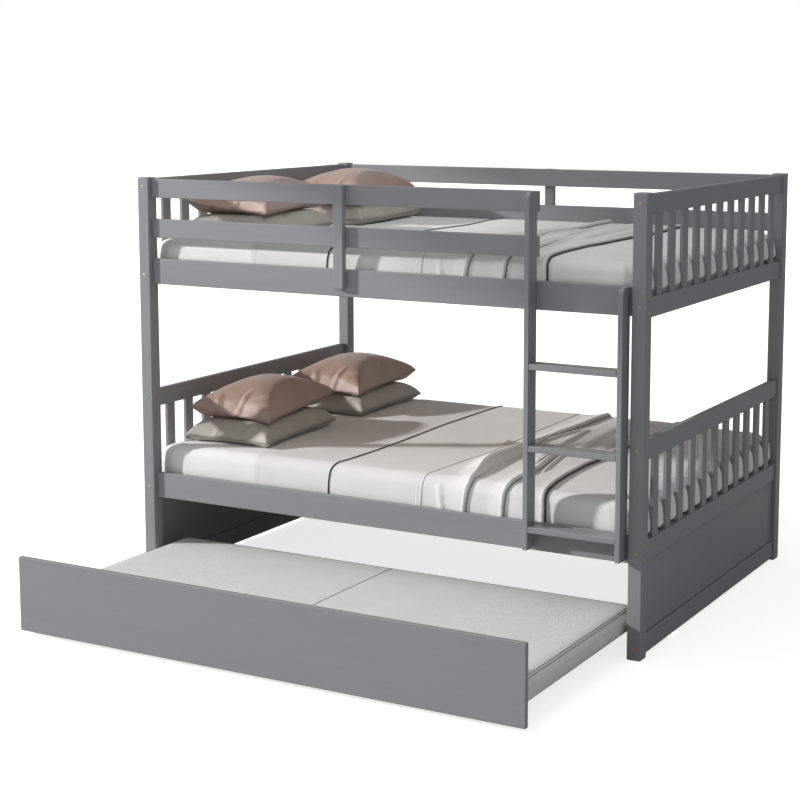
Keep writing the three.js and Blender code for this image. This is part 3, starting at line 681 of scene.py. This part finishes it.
# Bolt heads: low domes with a hex recess, turned about each bolt. The profile holds a radius and a
# height over the wood, in shares of the head's radius.
boltProfile = np.array([(0, -0.22), (0.94, -0.22), (1.0, 0.02), (0.97, 0.1), (0.8, 0.17), (0.5, 0.19),
                        (0.46, 0.15), (0.42, -0.14), (0, -0.16)])
boltFacts = {"radius": 0.0058, "sides": 18, "onFront": (0.024, (1.49, 1.162, 0.697, 0.357)),
             "onEnd": (0.026, (1.195, 1.147, 0.382, 0.333)), "plugHeight": 0.037, "plugRadius": 0.0062}


def makeHeads(name, spots, outs, radius, material):
    angle = np.linspace(0, 2 * math.pi, boltFacts["sides"], endpoint=False)
    out = np.array(outs, float)
    side = np.cross(out, (0, 0, 1))
    turn = angle[None, :, None]
    ring = side[:, None, :] * np.cos(turn) + np.array((0, 0, 1)) * np.sin(turn)
    wide, high = radius * boltProfile[:, 0], radius * boltProfile[:, 1]
    points = (np.array(spots)[:, None, None] + wide[None, :, None, None] * ring[:, None]
              + high[None, :, None, None] * out[:, None, None])
    faces = gridFaces(len(boltProfile), boltFacts["sides"], closedColumns=True)
    count = len(boltProfile) * boltFacts["sides"]
    faces = (faces[None] + count * np.arange(len(spots))[:, None, None]).reshape(-1, 4)
    return newPiece(name, points, faces, material, weld=True)


def makeBolts():
    corner = np.array(boxOnBed("foot_back_post")[1])
    across, fronts = boltFacts["onFront"]
    inward, ends = boltFacts["onEnd"]
    spots, outs = [], []
    for y, out in ((0, -1), (corner[1], 1)):
        for x in (across, corner[0] - across):
            spots += [(x, y, z) for z in fronts]
            outs += [(0, out, 0)] * len(fronts)
    for x, out in ((0, -1), (corner[0], 1)):
        for y in (inward, corner[1] - inward):
            spots += [(x, y, z) for z in ends]
            outs += [(out, 0, 0)] * len(ends)
    makeHeads("bolt_heads", spots, outs, boltFacts["radius"], hardware["yellow_zinc"])
    plugs = [(corner[0] - across, y, boltFacts["plugHeight"]) for y in (0, corner[1])]
    makeHeads("post_foot_plugs", plugs, [(0, -1, 0), (0, 1, 0)], boltFacts["plugRadius"],
              hardware["copper_plug"])


# Bedding over the bunk mattresses

# Points of cloth that lies over a mattress. x is the place along the bed from the mattress's middle,
# s the distance across it: over the top, round the edge and down the side. out lifts the cloth.
def overMattress(x, s, out, half, thick, facts):
    flat = half[1] - facts["edge"]
    turn = np.clip((np.abs(s) - flat) / facts["edge"], 0, math.pi / 2)
    down = np.maximum(np.abs(s) - flat - facts["edge"] * math.pi / 2, 0)
    y = np.sign(s) * (np.minimum(np.abs(s), flat) + (facts["edge"] + out) * np.sin(turn))
    z = thick - facts["crown"] - facts["edge"] + (facts["edge"] + out) * np.cos(turn) - down
    level = np.cos(turn) * topRise(x, y, half, facts)
    bulge = facts["bulge"] * np.sin(math.pi * np.clip(down / 0.1, 0, 1))
    return np.stack([x, y + np.sign(s) * bulge, z + level], -1)


# Folds of the blanket. Each row of a step's path is the distance s across the bed, the place x of its
# crest, its height, and how far past the crest it has fallen. A band lifts the hem before the crest,
# and a ridge is round. Ridges and hollows run from one distance to another.
# A step's dark line, of its darkness and width, is painted shade at the foot of its fall; a ridge's line is
# painted shade on its foot side.
blanketFacts = {
    "lift": 0.003, "thickness": 0.0028, "hang": 0.105, "rowStep": 0.0085, "columnStep": 0.0045,
    "hem": 0.0045, "cord": 0.003,
    "start": [(-0.8, 0.796), (-0.708, 0.797), (-0.667, 0.801), (-0.64, 0.812), (-0.578, 0.825),
              (-0.427, 0.837), (-0.25, 0.839), (-0.055, 0.8355), (0.161, 0.826), (0.577, 0.827), (0.8, 0.832)],
    "steps": [
        {"rise": 0.012, "dark": 0.45, "width": 0.0013, "lip": 0.0, "path": [
            (-0.8, 1.176, 0.0016, 0.0015), (-0.7, 1.1785, 0.0016, 0.0015), (-0.64, 1.18, 0.0018, 0.0015),
            (-0.6, 1.186, 0.0018, 0.0015), (-0.47, 1.195, 0.0018, 0.0015), (-0.33, 1.2165, 0.0018, 0.0015),
            (-0.255, 1.224, 0.0018, 0.0015), (-0.06, 1.222, 0.0018, 0.0015), (0.036, 1.2175, 0.0018, 0.0015),
            (0.184, 1.209, 0.0018, 0.0015), (0.36, 1.202, 0.0018, 0.0015), (0.56, 1.191, 0.0018, 0.0015),
            (0.8, 1.187, 0.0018, 0.0015)],
         "band": [(-0.8, 0.022), (-0.6, 0.024), (-0.43, 0.031), (-0.2, 0.037), (0.0, 0.036), (0.2, 0.03),
                  (0.8, 0.026)]},
        {"rise": 0.045, "dark": 1.0, "width": 0.0024, "lip": 0.0022, "path": [
            (-0.8, 1.349, 0.008, 0.005), (-0.74, 1.35, 0.0085, 0.005), (-0.7, 1.354, 0.009, 0.006),
            (-0.66, 1.361, 0.012, 0.008), (-0.6, 1.353, 0.017, 0.014), (-0.54, 1.338, 0.024, 0.027),
            (-0.47, 1.319, 0.0305, 0.043), (-0.38, 1.304, 0.0335, 0.058), (-0.29, 1.303, 0.031, 0.056),
            (-0.15, 1.307, 0.0235, 0.032), (0.0, 1.31, 0.014, 0.009), (0.11, 1.313, 0.012, 0.006),
            (0.21, 1.311, 0.012, 0.006), (0.38, 1.324, 0.013, 0.006), (0.5, 1.317, 0.013, 0.006),
            (0.8, 1.317, 0.012, 0.006)],
         "band": None},
        {"rise": 0.04, "dark": 1.0, "width": 0.0024, "lip": 0.0024, "path": [
            (-0.8, 1.495, 0.008, 0.004), (-0.72, 1.496, 0.0085, 0.004), (-0.675, 1.5, 0.0095, 0.005),
            (-0.64, 1.508, 0.011, 0.006), (-0.58, 1.505, 0.012, 0.007), (-0.46, 1.504, 0.012, 0.008),
            (-0.39, 1.497, 0.012, 0.008), (-0.31, 1.485, 0.0115, 0.008), (-0.236, 1.471, 0.01, 0.008),
            (-0.147, 1.456, 0.007, 0.01), (-0.05, 1.444, 0.003, 0.014), (0.05, 1.43, 0.0, 0.02),
            (0.8, 1.43, 0.0, 0.02)],
         "band": None},
        {"rise": 0.022, "dark": 0.85, "width": 0.0016, "lip": 0.002, "path": [
            (-0.8, 1.648, 0.006, 0.003), (-0.708, 1.6465, 0.006, 0.003), (-0.66, 1.642, 0.0065, 0.003),
            (-0.634, 1.643, 0.007, 0.003), (-0.547, 1.628, 0.007, 0.003), (-0.436, 1.617, 0.007, 0.003),
            (-0.257, 1.6105, 0.007, 0.003), (-0.16, 1.619, 0.007, 0.003), (0.17, 1.622, 0.007, 0.003),
            (0.8, 1.63, 0.007, 0.003)],
         "band": [(-0.8, 0.014), (0.8, 0.014)]},
    ],
    "ridges": [
        {"path": [(-0.8, 1.262), (-0.738, 1.2575), (-0.698, 1.25), (-0.66, 1.243)], "height": 0.0085,
         "width": 0.0075, "from": -0.9, "to": -0.655},
        {"path": [(-0.02, 1.325), (0.11, 1.331), (0.25, 1.347), (0.32, 1.352)], "height": 0.008, "width": 0.006,
         "from": -0.03, "to": 0.31},
        {"path": [(-0.05, 1.41), (0.09, 1.398), (0.21, 1.386), (0.34, 1.37)], "height": 0.009, "width": 0.007,
         "from": -0.05, "to": 0.33},
        {"path": [(-0.34, 1.44), (-0.278, 1.4336), (-0.178, 1.423), (-0.08, 1.412)], "height": 0.009,
         "width": 0.008, "from": -0.33, "to": -0.08},
        {"path": [(-0.44, 1.472), (-0.354, 1.4666), (-0.236, 1.45), (-0.12, 1.44)], "height": 0.008,
         "width": 0.01, "from": -0.42, "to": -0.12},
        {"path": [(-0.5, 1.535), (-0.426, 1.53), (-0.287, 1.5035), (-0.17, 1.483), (-0.05, 1.465)],
         "height": 0.007, "width": 0.006, "from": -0.47, "to": -0.06},
        {"path": [(-0.1, 1.495), (0.1, 1.482), (0.3, 1.466), (0.62, 1.435)],
         "height": 0.008, "width": 0.02, "from": -0.1, "to": 0.62},
        {"path": [(-0.1, 1.57), (0.2, 1.55), (0.62, 1.53)],
         "height": 0.006, "width": 0.016, "from": -0.05, "to": 0.6},
    ],
    "knot": {"x": 1.218, "s": -0.085, "reach": 0.026, "height": 0.012},
    "dimple": {"x": 1.269, "s": -0.594, "reach": 0.01, "height": -0.004},
}
closeTo = np.array([0.0009, 0.0018, 0.0028, 0.0039, 0.0052, 0.0068, 0.0088, 0.0115, 0.015, 0.02])
closeBefore = np.array([0.044, 0.038, 0.034, 0.031, 0.028, 0.025, 0.0225, 0.02, 0.0175, 0.0155, 0.0135,
                        0.0115, 0.0095, 0.0078, 0.0062, 0.0048, 0.0036, 0.0026, 0.0017, 0.0008, 0.0])


def alongPath(s, path):
    columns = np.array(path).T
    values = [np.interp(s, columns[0], column) for column in columns[1:]]
    return values[0] if len(values) == 1 else values


# 1 between two places, with soft ends.
def between(s, start, end, soft=0.05):
    return np.clip((s - start) / soft, 0, 1) * np.clip((end - s) / soft, 0, 1)


# Columns of the blanket follow its steps, close together beside each one.
def blanketColumns(s):
    lines = [alongPath(s, blanketFacts["start"]) - blanketFacts["hem"]]
    lines += [alongPath(s, step["path"])[0] for step in blanketFacts["steps"]]
    columns = [lines[0][:, None]]
    for here, there in zip(lines[:-1], lines[1:]):
        start, end = here + closeTo[-1], there - closeBefore[0]
        count = round(float(np.mean(end - start)) / blanketFacts["columnStep"])
        share = np.linspace(0, 1, count + 1)[1:-1]
        columns.append(here[:, None] + closeTo)
        columns.append(start[:, None] + share * (end - start)[:, None])
        columns.append(there[:, None] - closeBefore)
    columns.append(lines[-1][:, None] + np.array([0.0012, 0.0024, 0.0038, 0.0055]))
    return np.concatenate(columns, 1)


def blanketRelief(x, s):
    lift, line = 0 * x, 0 * x
    for i, step in enumerate(blanketFacts["steps"]):
        crest, height, fall = alongPath(s, step["path"])
        away = x - crest
        height = height * (1 + 0.15 * ripple(s, 0 * s, 0.31, 0.7 + i))
        slope = np.clip(away / fall, 0, 1)
        hill = np.where(away > 0, 0.5 + 0.5 * np.cos(math.pi * slope), np.exp(-(away / step["rise"]) ** 2))
        if step["band"]:
            inBand = (away + alongPath(s, step["band"])) / 0.003
            hill = np.where(away > 0, hill, 0.3 * hill + 0.7 * np.clip(inBand, 0, 1))
            lift = lift + 0.0012 * np.exp(-((inBand - 1.3) / 0.8) ** 2)
            line = np.maximum(line, 0.3 * np.exp(-((inBand + 0.5) / 0.5) ** 2))
        lip = step["lip"] * np.exp(-((away + 0.0045) / 0.0042) ** 2)
        strength = np.clip(height / 0.005, 0, 1) if step["lip"] else 1
        lift = lift + height * hill + strength * lip
        # Painted shade: a dark line at the foot of each fall, where the fold's shadow lies.
        foldShade = step["dark"] * strength * np.clip(0.012 / (fall + 0.003), 0.25, 1)
        line = np.maximum(line, foldShade * np.exp(-((away - fall * 0.85 - 0.0006) / step["width"]) ** 2))
    for ridge in blanketFacts["ridges"]:
        away = (x - alongPath(s, ridge["path"])) / ridge["width"]
        strength = between(s, ridge["from"], ridge["to"], 0.07)
        lift = lift + ridge["height"] * strength * np.exp(-away ** 2)
        # Painted shade on the foot side of each ridge.
        line = np.maximum(line, 0.25 * strength * np.exp(-((away - 1.25) / 0.3) ** 2))
    for spot in (blanketFacts["knot"], blanketFacts["dimple"]):
        near = np.exp(-((x - spot["x"]) ** 2 + 0.5 * (s - spot["s"]) ** 2) / spot["reach"] ** 2)
        lift = lift + spot["height"] * near * (0.75 + 0.6 * ripple(x, s, 0.033, 0.4))
    soft = between(x, 1.2, 1.62, 0.08) * 0.0018 * (1 + ripple(x, 0.6 * s, 0.16, 5.0))
    return lift + soft + 0.0006 * (1 + ripple(x, s, 0.24, 3.0)), np.clip(line, 0, 1)


def clothRows(half, facts, hang, step):
    flat = half[1] - facts["edge"]
    end = flat + facts["edge"] * math.pi / 2 + hang
    return np.linspace(-end, end, 2 * round(end / step) + 1)


def makeBlanket(level, material):
    facts = mattressFacts[level]
    low, middle, half, thick = mattressBox(level + "_mattress")
    s = clothRows(half, facts, blanketFacts["hang"], blanketFacts["rowStep"])
    x = blanketColumns(s)
    s = s[:, None] + 0 * x
    lift, line = blanketRelief(x, s)
    points = overMattress(x - middle[0], s, blanketFacts["lift"] + lift, half, thick, facts)
    points = points + (middle[0], middle[1], low[2])
    piece = newPiece(level + "_bed_blanket", points, gridFaces(*x.shape)[:, ::-1], material,
                     place=flatPlace(x, s), line=line)
    thicken(piece, blanketFacts["thickness"])
    ends = {"head": (alongPath(s[:, 0], blanketFacts["start"]), 1.8), "foot": (x[:, -1] + 0.001, 0.7)}
    for end, (edge, lift) in ends.items():
        out = np.full(len(edge), blanketFacts["lift"] + lift * blanketFacts["cord"] / 2)
        rim = overMattress(edge - middle[0], s[:, 0], out, half, thick, facts)
        tube(f"{level}_blanket_{end}_piping", rim + (middle[0], middle[1], low[2]),
                          blanketFacts["cord"], cloths["cord"], "bed_frame")
    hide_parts(level + "_blanket")


topSheetFacts = {
    "head": [(-0.8, 0.468), (-0.69, 0.47), (-0.62, 0.466), (0.0, 0.452), (0.62, 0.447), (0.8, 0.45)],
    "foot": 1.62, "lift": 0.0012, "thickness": 0.0007, "hang": 0.1, "rowStep": 0.013,
    "hem": 0.021, "hemWidth": 0.0022,
}


def makeTopSheet(level, material):
    facts = mattressFacts[level]
    low, middle, half, thick = mattressBox(level + "_mattress")
    s = clothRows(half, facts, topSheetFacts["hang"], topSheetFacts["rowStep"])
    head = alongPath(s, topSheetFacts["head"])[:, None]
    near = np.array([0, 0.001, 0.002, 0.004, 0.008, 0.014, 0.018, 0.021, 0.024, 0.03])
    share = np.concatenate([np.linspace(0, 0.4, 42)[1:], np.linspace(0.4, 1, 24)[1:]])
    x = np.concatenate([head + near, head + near[-1] + share * (topSheetFacts["foot"] - near[-1] - head)], 1)
    s = s[:, None] + 0 * x
    hem = np.exp(-((x - head - topSheetFacts["hem"]) / topSheetFacts["hemWidth"]) ** 2)
    shown = between(x, 0.4, 0.86, 0.05)
    soft = shown * 0.0009 * (1 + ripple(x, 0.5 * s, 0.15, 4.0)) - 0.0004 * hem
    out = topSheetFacts["lift"] + np.where(x < 0.9, soft, 0)
    points = overMattress(x - middle[0], s, out, half, thick, facts) + (middle[0], middle[1], low[2])
    piece = newPiece(level + "_top_sheet", points, gridFaces(*x.shape)[:, ::-1], material,
                     place=flatPlace(x, s), line=0.35 * hem)
    thicken(piece, topSheetFacts["thickness"])


# Pillows

# Each is a closed bag of two faces. sharp makes the hips between its faces crisper, full rounds them.
pillowFacts = {
    "low": {"width": 0.392, "length": 0.535, "seam": 0.019, "top": 0.064, "drawIn": 0.055, "sharp": 3.5,
            "full": 4.2, "fullBelow": 6.0, "cap": 0.01},
    "top": {"width": 0.372, "length": 0.552, "seam": 0.009, "top": 0.108, "drawIn": 0.07, "sharp": 3.0,
            "full": 2.1, "fullBelow": 3.2, "cap": 0.014},
}
# Pinches in a pillow's upper face, each from one place to another in shares of its half width and
# half length, with its height and half breadth.
pinchFacts = {
    "low": [((-0.35, -0.95), (-0.22, -0.7), 0.005, 0.009), ((0.25, -0.93), (0.45, -0.74), 0.004, 0.01),
            ((0.93, -0.35), (0.72, -0.25), 0.004, 0.01)],
    "top": [((0.06, -0.93), (0.19, -0.6), 0.0075, 0.009), ((0.3, -0.82), (0.82, -0.58), 0.0045, 0.014),
            ((0.74, -0.93), (0.93, -0.8), 0.005, 0.012), ((-0.35, -0.93), (-0.45, -0.7), 0.004, 0.012),
            ((0.92, 0.35), (0.66, 0.3), 0.004, 0.014)],
}
bagGrid = (46, 64)
simFacts = {"frames": 22, "quality": 5, "pressure": 4.0, "stretch": -0.035, "mass": 0.3, "stiffness": 15,
            "bending": 0.3}


def pillowBag(kind, seed):
    facts = pillowFacts[kind]
    rows, columns = bagGrid
    s = np.linspace(-1, 1, rows)[:, None]
    t = np.linspace(-1, 1, columns)[None, :]
    x = facts["width"] / 2 * s * (1 - facts["drawIn"] * (1 - t ** 2))
    y = facts["length"] / 2 * t * (1 - facts["drawIn"] * (1 - s ** 2))
    # height share e: 0 at the seam, 1 in the middle, a soft minimum of the distances to the seams
    a, b = np.maximum(1 - np.abs(s), 1e-6), np.maximum(1 - np.abs(t), 1e-6)
    k = facts["sharp"]
    e = np.clip((a ** -k + b ** -k) ** (-1 / k) * 2 ** (1 / k), 0, 1)
    creases = (1 - e) * e * (ripple(x, y, 0.07, seed) * 0.006)
    over = facts["seam"] + facts["top"] * (1 - (1 - e) ** facts["full"]) + creases
    under = facts["seam"] - facts["seam"] * (1 - (1 - e) ** facts["fullBelow"])
    both = np.stack([np.stack([x, y, over], -1), np.stack([x, y, under], -1)])
    faces = gridFaces(rows, columns)
    faces = np.concatenate([faces, faces[:, ::-1] + rows * columns])
    seam = 0.5 * np.exp(-(e / 0.012) ** 2)
    place = flatPlace(x, y)
    return both.reshape(-1, 3), faces, np.concatenate([place, place]), np.concatenate([seam.ravel()] * 2)


# Fills the bag with air pressure as cloth, and keeps each point within cap of where it started.
def inflate(piece, cap):
    settings = piece.modifiers.new("cloth", "CLOTH").settings
    settings.quality = simFacts["quality"]
    settings.mass = simFacts["mass"]
    settings.tension_stiffness = settings.compression_stiffness = simFacts["stiffness"]
    settings.bending_stiffness = simFacts["bending"]
    settings.use_pressure = True
    settings.uniform_pressure_force = simFacts["pressure"]
    settings.shrink_min = simFacts["stretch"]
    settings.effector_weights.gravity = 0
    for step in range(1, simFacts["frames"] + 1):
        scene.frame_set(step)
    result = piece.evaluated_get(bpy.context.evaluated_depsgraph_get()).to_mesh()
    before = np.empty(3 * len(piece.data.vertices))
    after = before.copy()
    piece.data.vertices.foreach_get("co", before)
    result.vertices.foreach_get("co", after)
    piece.modifiers.clear()
    scene.frame_set(1)
    move = (after - before).reshape(-1, 3)
    move -= move.mean(0)
    far = np.linalg.norm(move, axis=1)[:, None]
    move *= np.minimum(1, cap / np.maximum(far, 1e-9))
    return before.reshape(-1, 3) + move


def bagShape(kind, seed):
    points, faces, place, line = pillowBag(kind, seed)
    piece = newPiece("bag", points, faces, cloths["rose"], place=place, line=line, weld=True)
    shaped = inflate(piece, pillowFacts[kind]["cap"])
    piece.data.vertices.foreach_set("co", (shaped - bedCorner).ravel())
    mesh = piece.data
    bpy.data.objects.remove(piece)
    return mesh


# Where each pillow lies: its middle on the bed, its turn, and how far its corners lift or droop.
# Corners are named by the side they are on: head or foot, front or back.
stackFacts = {
    "front": {
        "low": {"middle": (0.268, 0.402), "turn": 2.0, "corners": {"head_front": 0.002, "foot_back": 0.004}},
        "top": {"middle": (0.246, 0.452), "turn": 4.5,
                "corners": {"head_front": 0.03, "foot_front": -0.01, "foot_back": 0.026, "head_back": 0.02}},
    },
    "back": {
        "low": {"middle": (0.262, 1.098), "turn": 2.0, "corners": {"head_front": 0.002, "foot_back": 0.004}},
        "top": {"middle": (0.244, 1.112), "turn": 3.5,
                "corners": {"head_front": 0.03, "foot_front": -0.01, "foot_back": 0.024, "head_back": 0.02}},
    },
}
# contact is where the lower pillow's top stops and the upper one's underside starts, over the mattress.
pillowRestFacts = {"contact": 0.0835, "headGap": 0.0585, "gap": 0.0012,
                   "pinchShift": {"front": 0.0, "back": 0.1}}


# 1 along a line between two places on a pillow, falling off to its sides and at its ends, with a
# shallow hollow to either side.
def nearLine(x, y, facts, start, end, breadth, shift):
    half = np.array([facts["width"], facts["length"]]) / 2
    start, end = (np.array(start) + (shift, 0)) * half, (np.array(end) + (shift, 0)) * half
    length = np.linalg.norm(end - start)
    ahead = (end - start) / length
    along = ((x - start[0]) * ahead[0] + (y - start[1]) * ahead[1]) / length
    aside = ((y - start[1]) * ahead[0] - (x - start[0]) * ahead[1]) / breadth
    ends = np.clip((along + 0.25) / 0.4, 0, 1) * np.clip((1.25 - along) / 0.6, 0, 1)
    return ends * (np.exp(-aside ** 2) - 0.45 * np.exp(-((np.abs(aside) - 1.9) / 0.8) ** 2))


def makePillow(level, side, kind, bag, material):
    facts, lie = pillowFacts[kind], stackFacts[side][kind]
    low, middle, half, thick = mattressBox(level + "_mattress")
    mesh = bag.copy()
    p = np.empty(3 * len(mesh.vertices))
    mesh.vertices.foreach_get("co", p)
    x, y, z = p.reshape(-1, 3).T
    s, t = x / (facts["width"] / 2), y / (facts["length"] / 2)
    for corner, amount in lie["corners"].items():
        along = s if "foot" in corner else -s
        across = -t if "front" in corner else t
        z = z + amount * np.clip((along + 1) / 2, 0, 1) ** 3 * np.clip((across + 1) / 2, 0, 1) ** 3
    above = np.clip((z - facts["seam"] - 0.002) / 0.006, 0, 1)
    shift = pillowRestFacts["pinchShift"][side]
    for start, end, height, breadth in pinchFacts[kind]:
        z = z + above * height * nearLine(x, y, facts, start, end, breadth, shift)
    turn = math.radians(lie["turn"])
    x, y = x * math.cos(turn) - y * math.sin(turn), x * math.sin(turn) + y * math.cos(turn)
    x, y = x + lie["middle"][0], y + lie["middle"][1]
    x = np.maximum(x, pillowRestFacts["headGap"])
    under = mattressFacts[level]
    top = thick - under["crown"] + topRise(x - middle[0], y - middle[1], half, under)
    contact, gap = pillowRestFacts["contact"], pillowRestFacts["gap"]
    if kind == "low":
        z = np.minimum(np.maximum(z, gap), contact)
    else:
        z = np.maximum(z, 0.0) + contact + gap
    points = onBed(np.stack([x, y, z + top + low[2]], -1))
    mesh.vertices.foreach_set("co", points.ravel())
    name = f"{level}_{side}_pillow_{kind}"
    piece = bpy.data.objects.new(name.replace("pillow", "cushion"), mesh)
    scene.collection.objects.link(piece)
    mesh.materials.clear()
    mesh.materials.append(material)
    mesh.update()
    smooth = piece.modifiers.new("smooth", "SUBSURF")
    smooth.levels = smooth.render_levels = 1
    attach(piece, "bed_frame")
    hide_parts(name)


def wear(node, material):
    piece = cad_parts[node]
    piece.data.materials.clear()
    piece.data.materials.append(material)


makeCamera()
makeSky()
makeLights()
makeGauze()
makeFloor()

grainGroup = makeGrainGroup()
edgeHighlightGroup = makeEdgeHighlightGroup()
weaveGroup = makeWeaveGroup()
paint = {axis: woodMaterial("paint_along_" + axis, paintFacts, stretch)
         for axis, stretch in (("x", (0.08, 1, 1)), ("y", (1, 0.08, 1)), ("z", (1, 1, 0.08)))}
pine = {axis: woodMaterial("pine_along_" + axis, pineFacts, stretch)
        for axis, stretch in (("x", (0.08, 1, 1)), ("y", (1, 0.08, 1)))}
cloths = {name: clothMaterial("cloth_" + name, facts) for name, facts in clothFacts.items()}
hardware = {name: hardwareMaterial(name, facts) for name, facts in hardwareFacts.items()}
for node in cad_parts:
    if "slats" in node or "trundle_left" in node or "trundle_right" in node:
        wear(node, pine["y"])
    elif "beam" in node or node == "trundle_front_rail":
        wear(node, pine["x"])
    elif "caster_bracket" in node:
        wear(node, hardware["zinc_steel"])
    elif "caster_wheel" in node:
        wear(node, hardware["black_rubber"])
    elif "post" in node or "stile" in node or "brace" in node:
        wear(node, paint["z"])
    elif "head" in node or "foot" in node:
        wear(node, paint["y"])
    else:
        wear(node, paint["x"])
makeBolts()
print("boards and bolts done")

bags = {(kind, side): bagShape(kind, seed) for (kind, side, seed) in
        (("low", "front", 1.3), ("low", "back", 2.9), ("top", "front", 4.1), ("top", "back", 5.7))}
print("bags done")
for level in ("lower", "upper"):
    makeMattress(level + "_bed_mattress", level + "_mattress", mattressFacts[level], cloths["sheet"],
                 "bed_frame", ends=endSlats(level))
    makeTopSheet(level, cloths["topSheet"])
    makeBlanket(level, cloths["blanket"])
    for side in ("front", "back"):
        makePillow(level, side, "low", bags["low", side], cloths["taupe"])
        makePillow(level, side, "top", bags["top", side], cloths["rose"])
    print(level, "bedding done")
makeMattress("trundle_bed_mattress", "trundle_mattress", mattressFacts["trundle"], cloths["trundleCover"],
             "trundle", seam=True)
makePiping("trundle_piping", "trundle_mattress", mattressFacts["trundle"], trundlePipingFacts, "trundle")
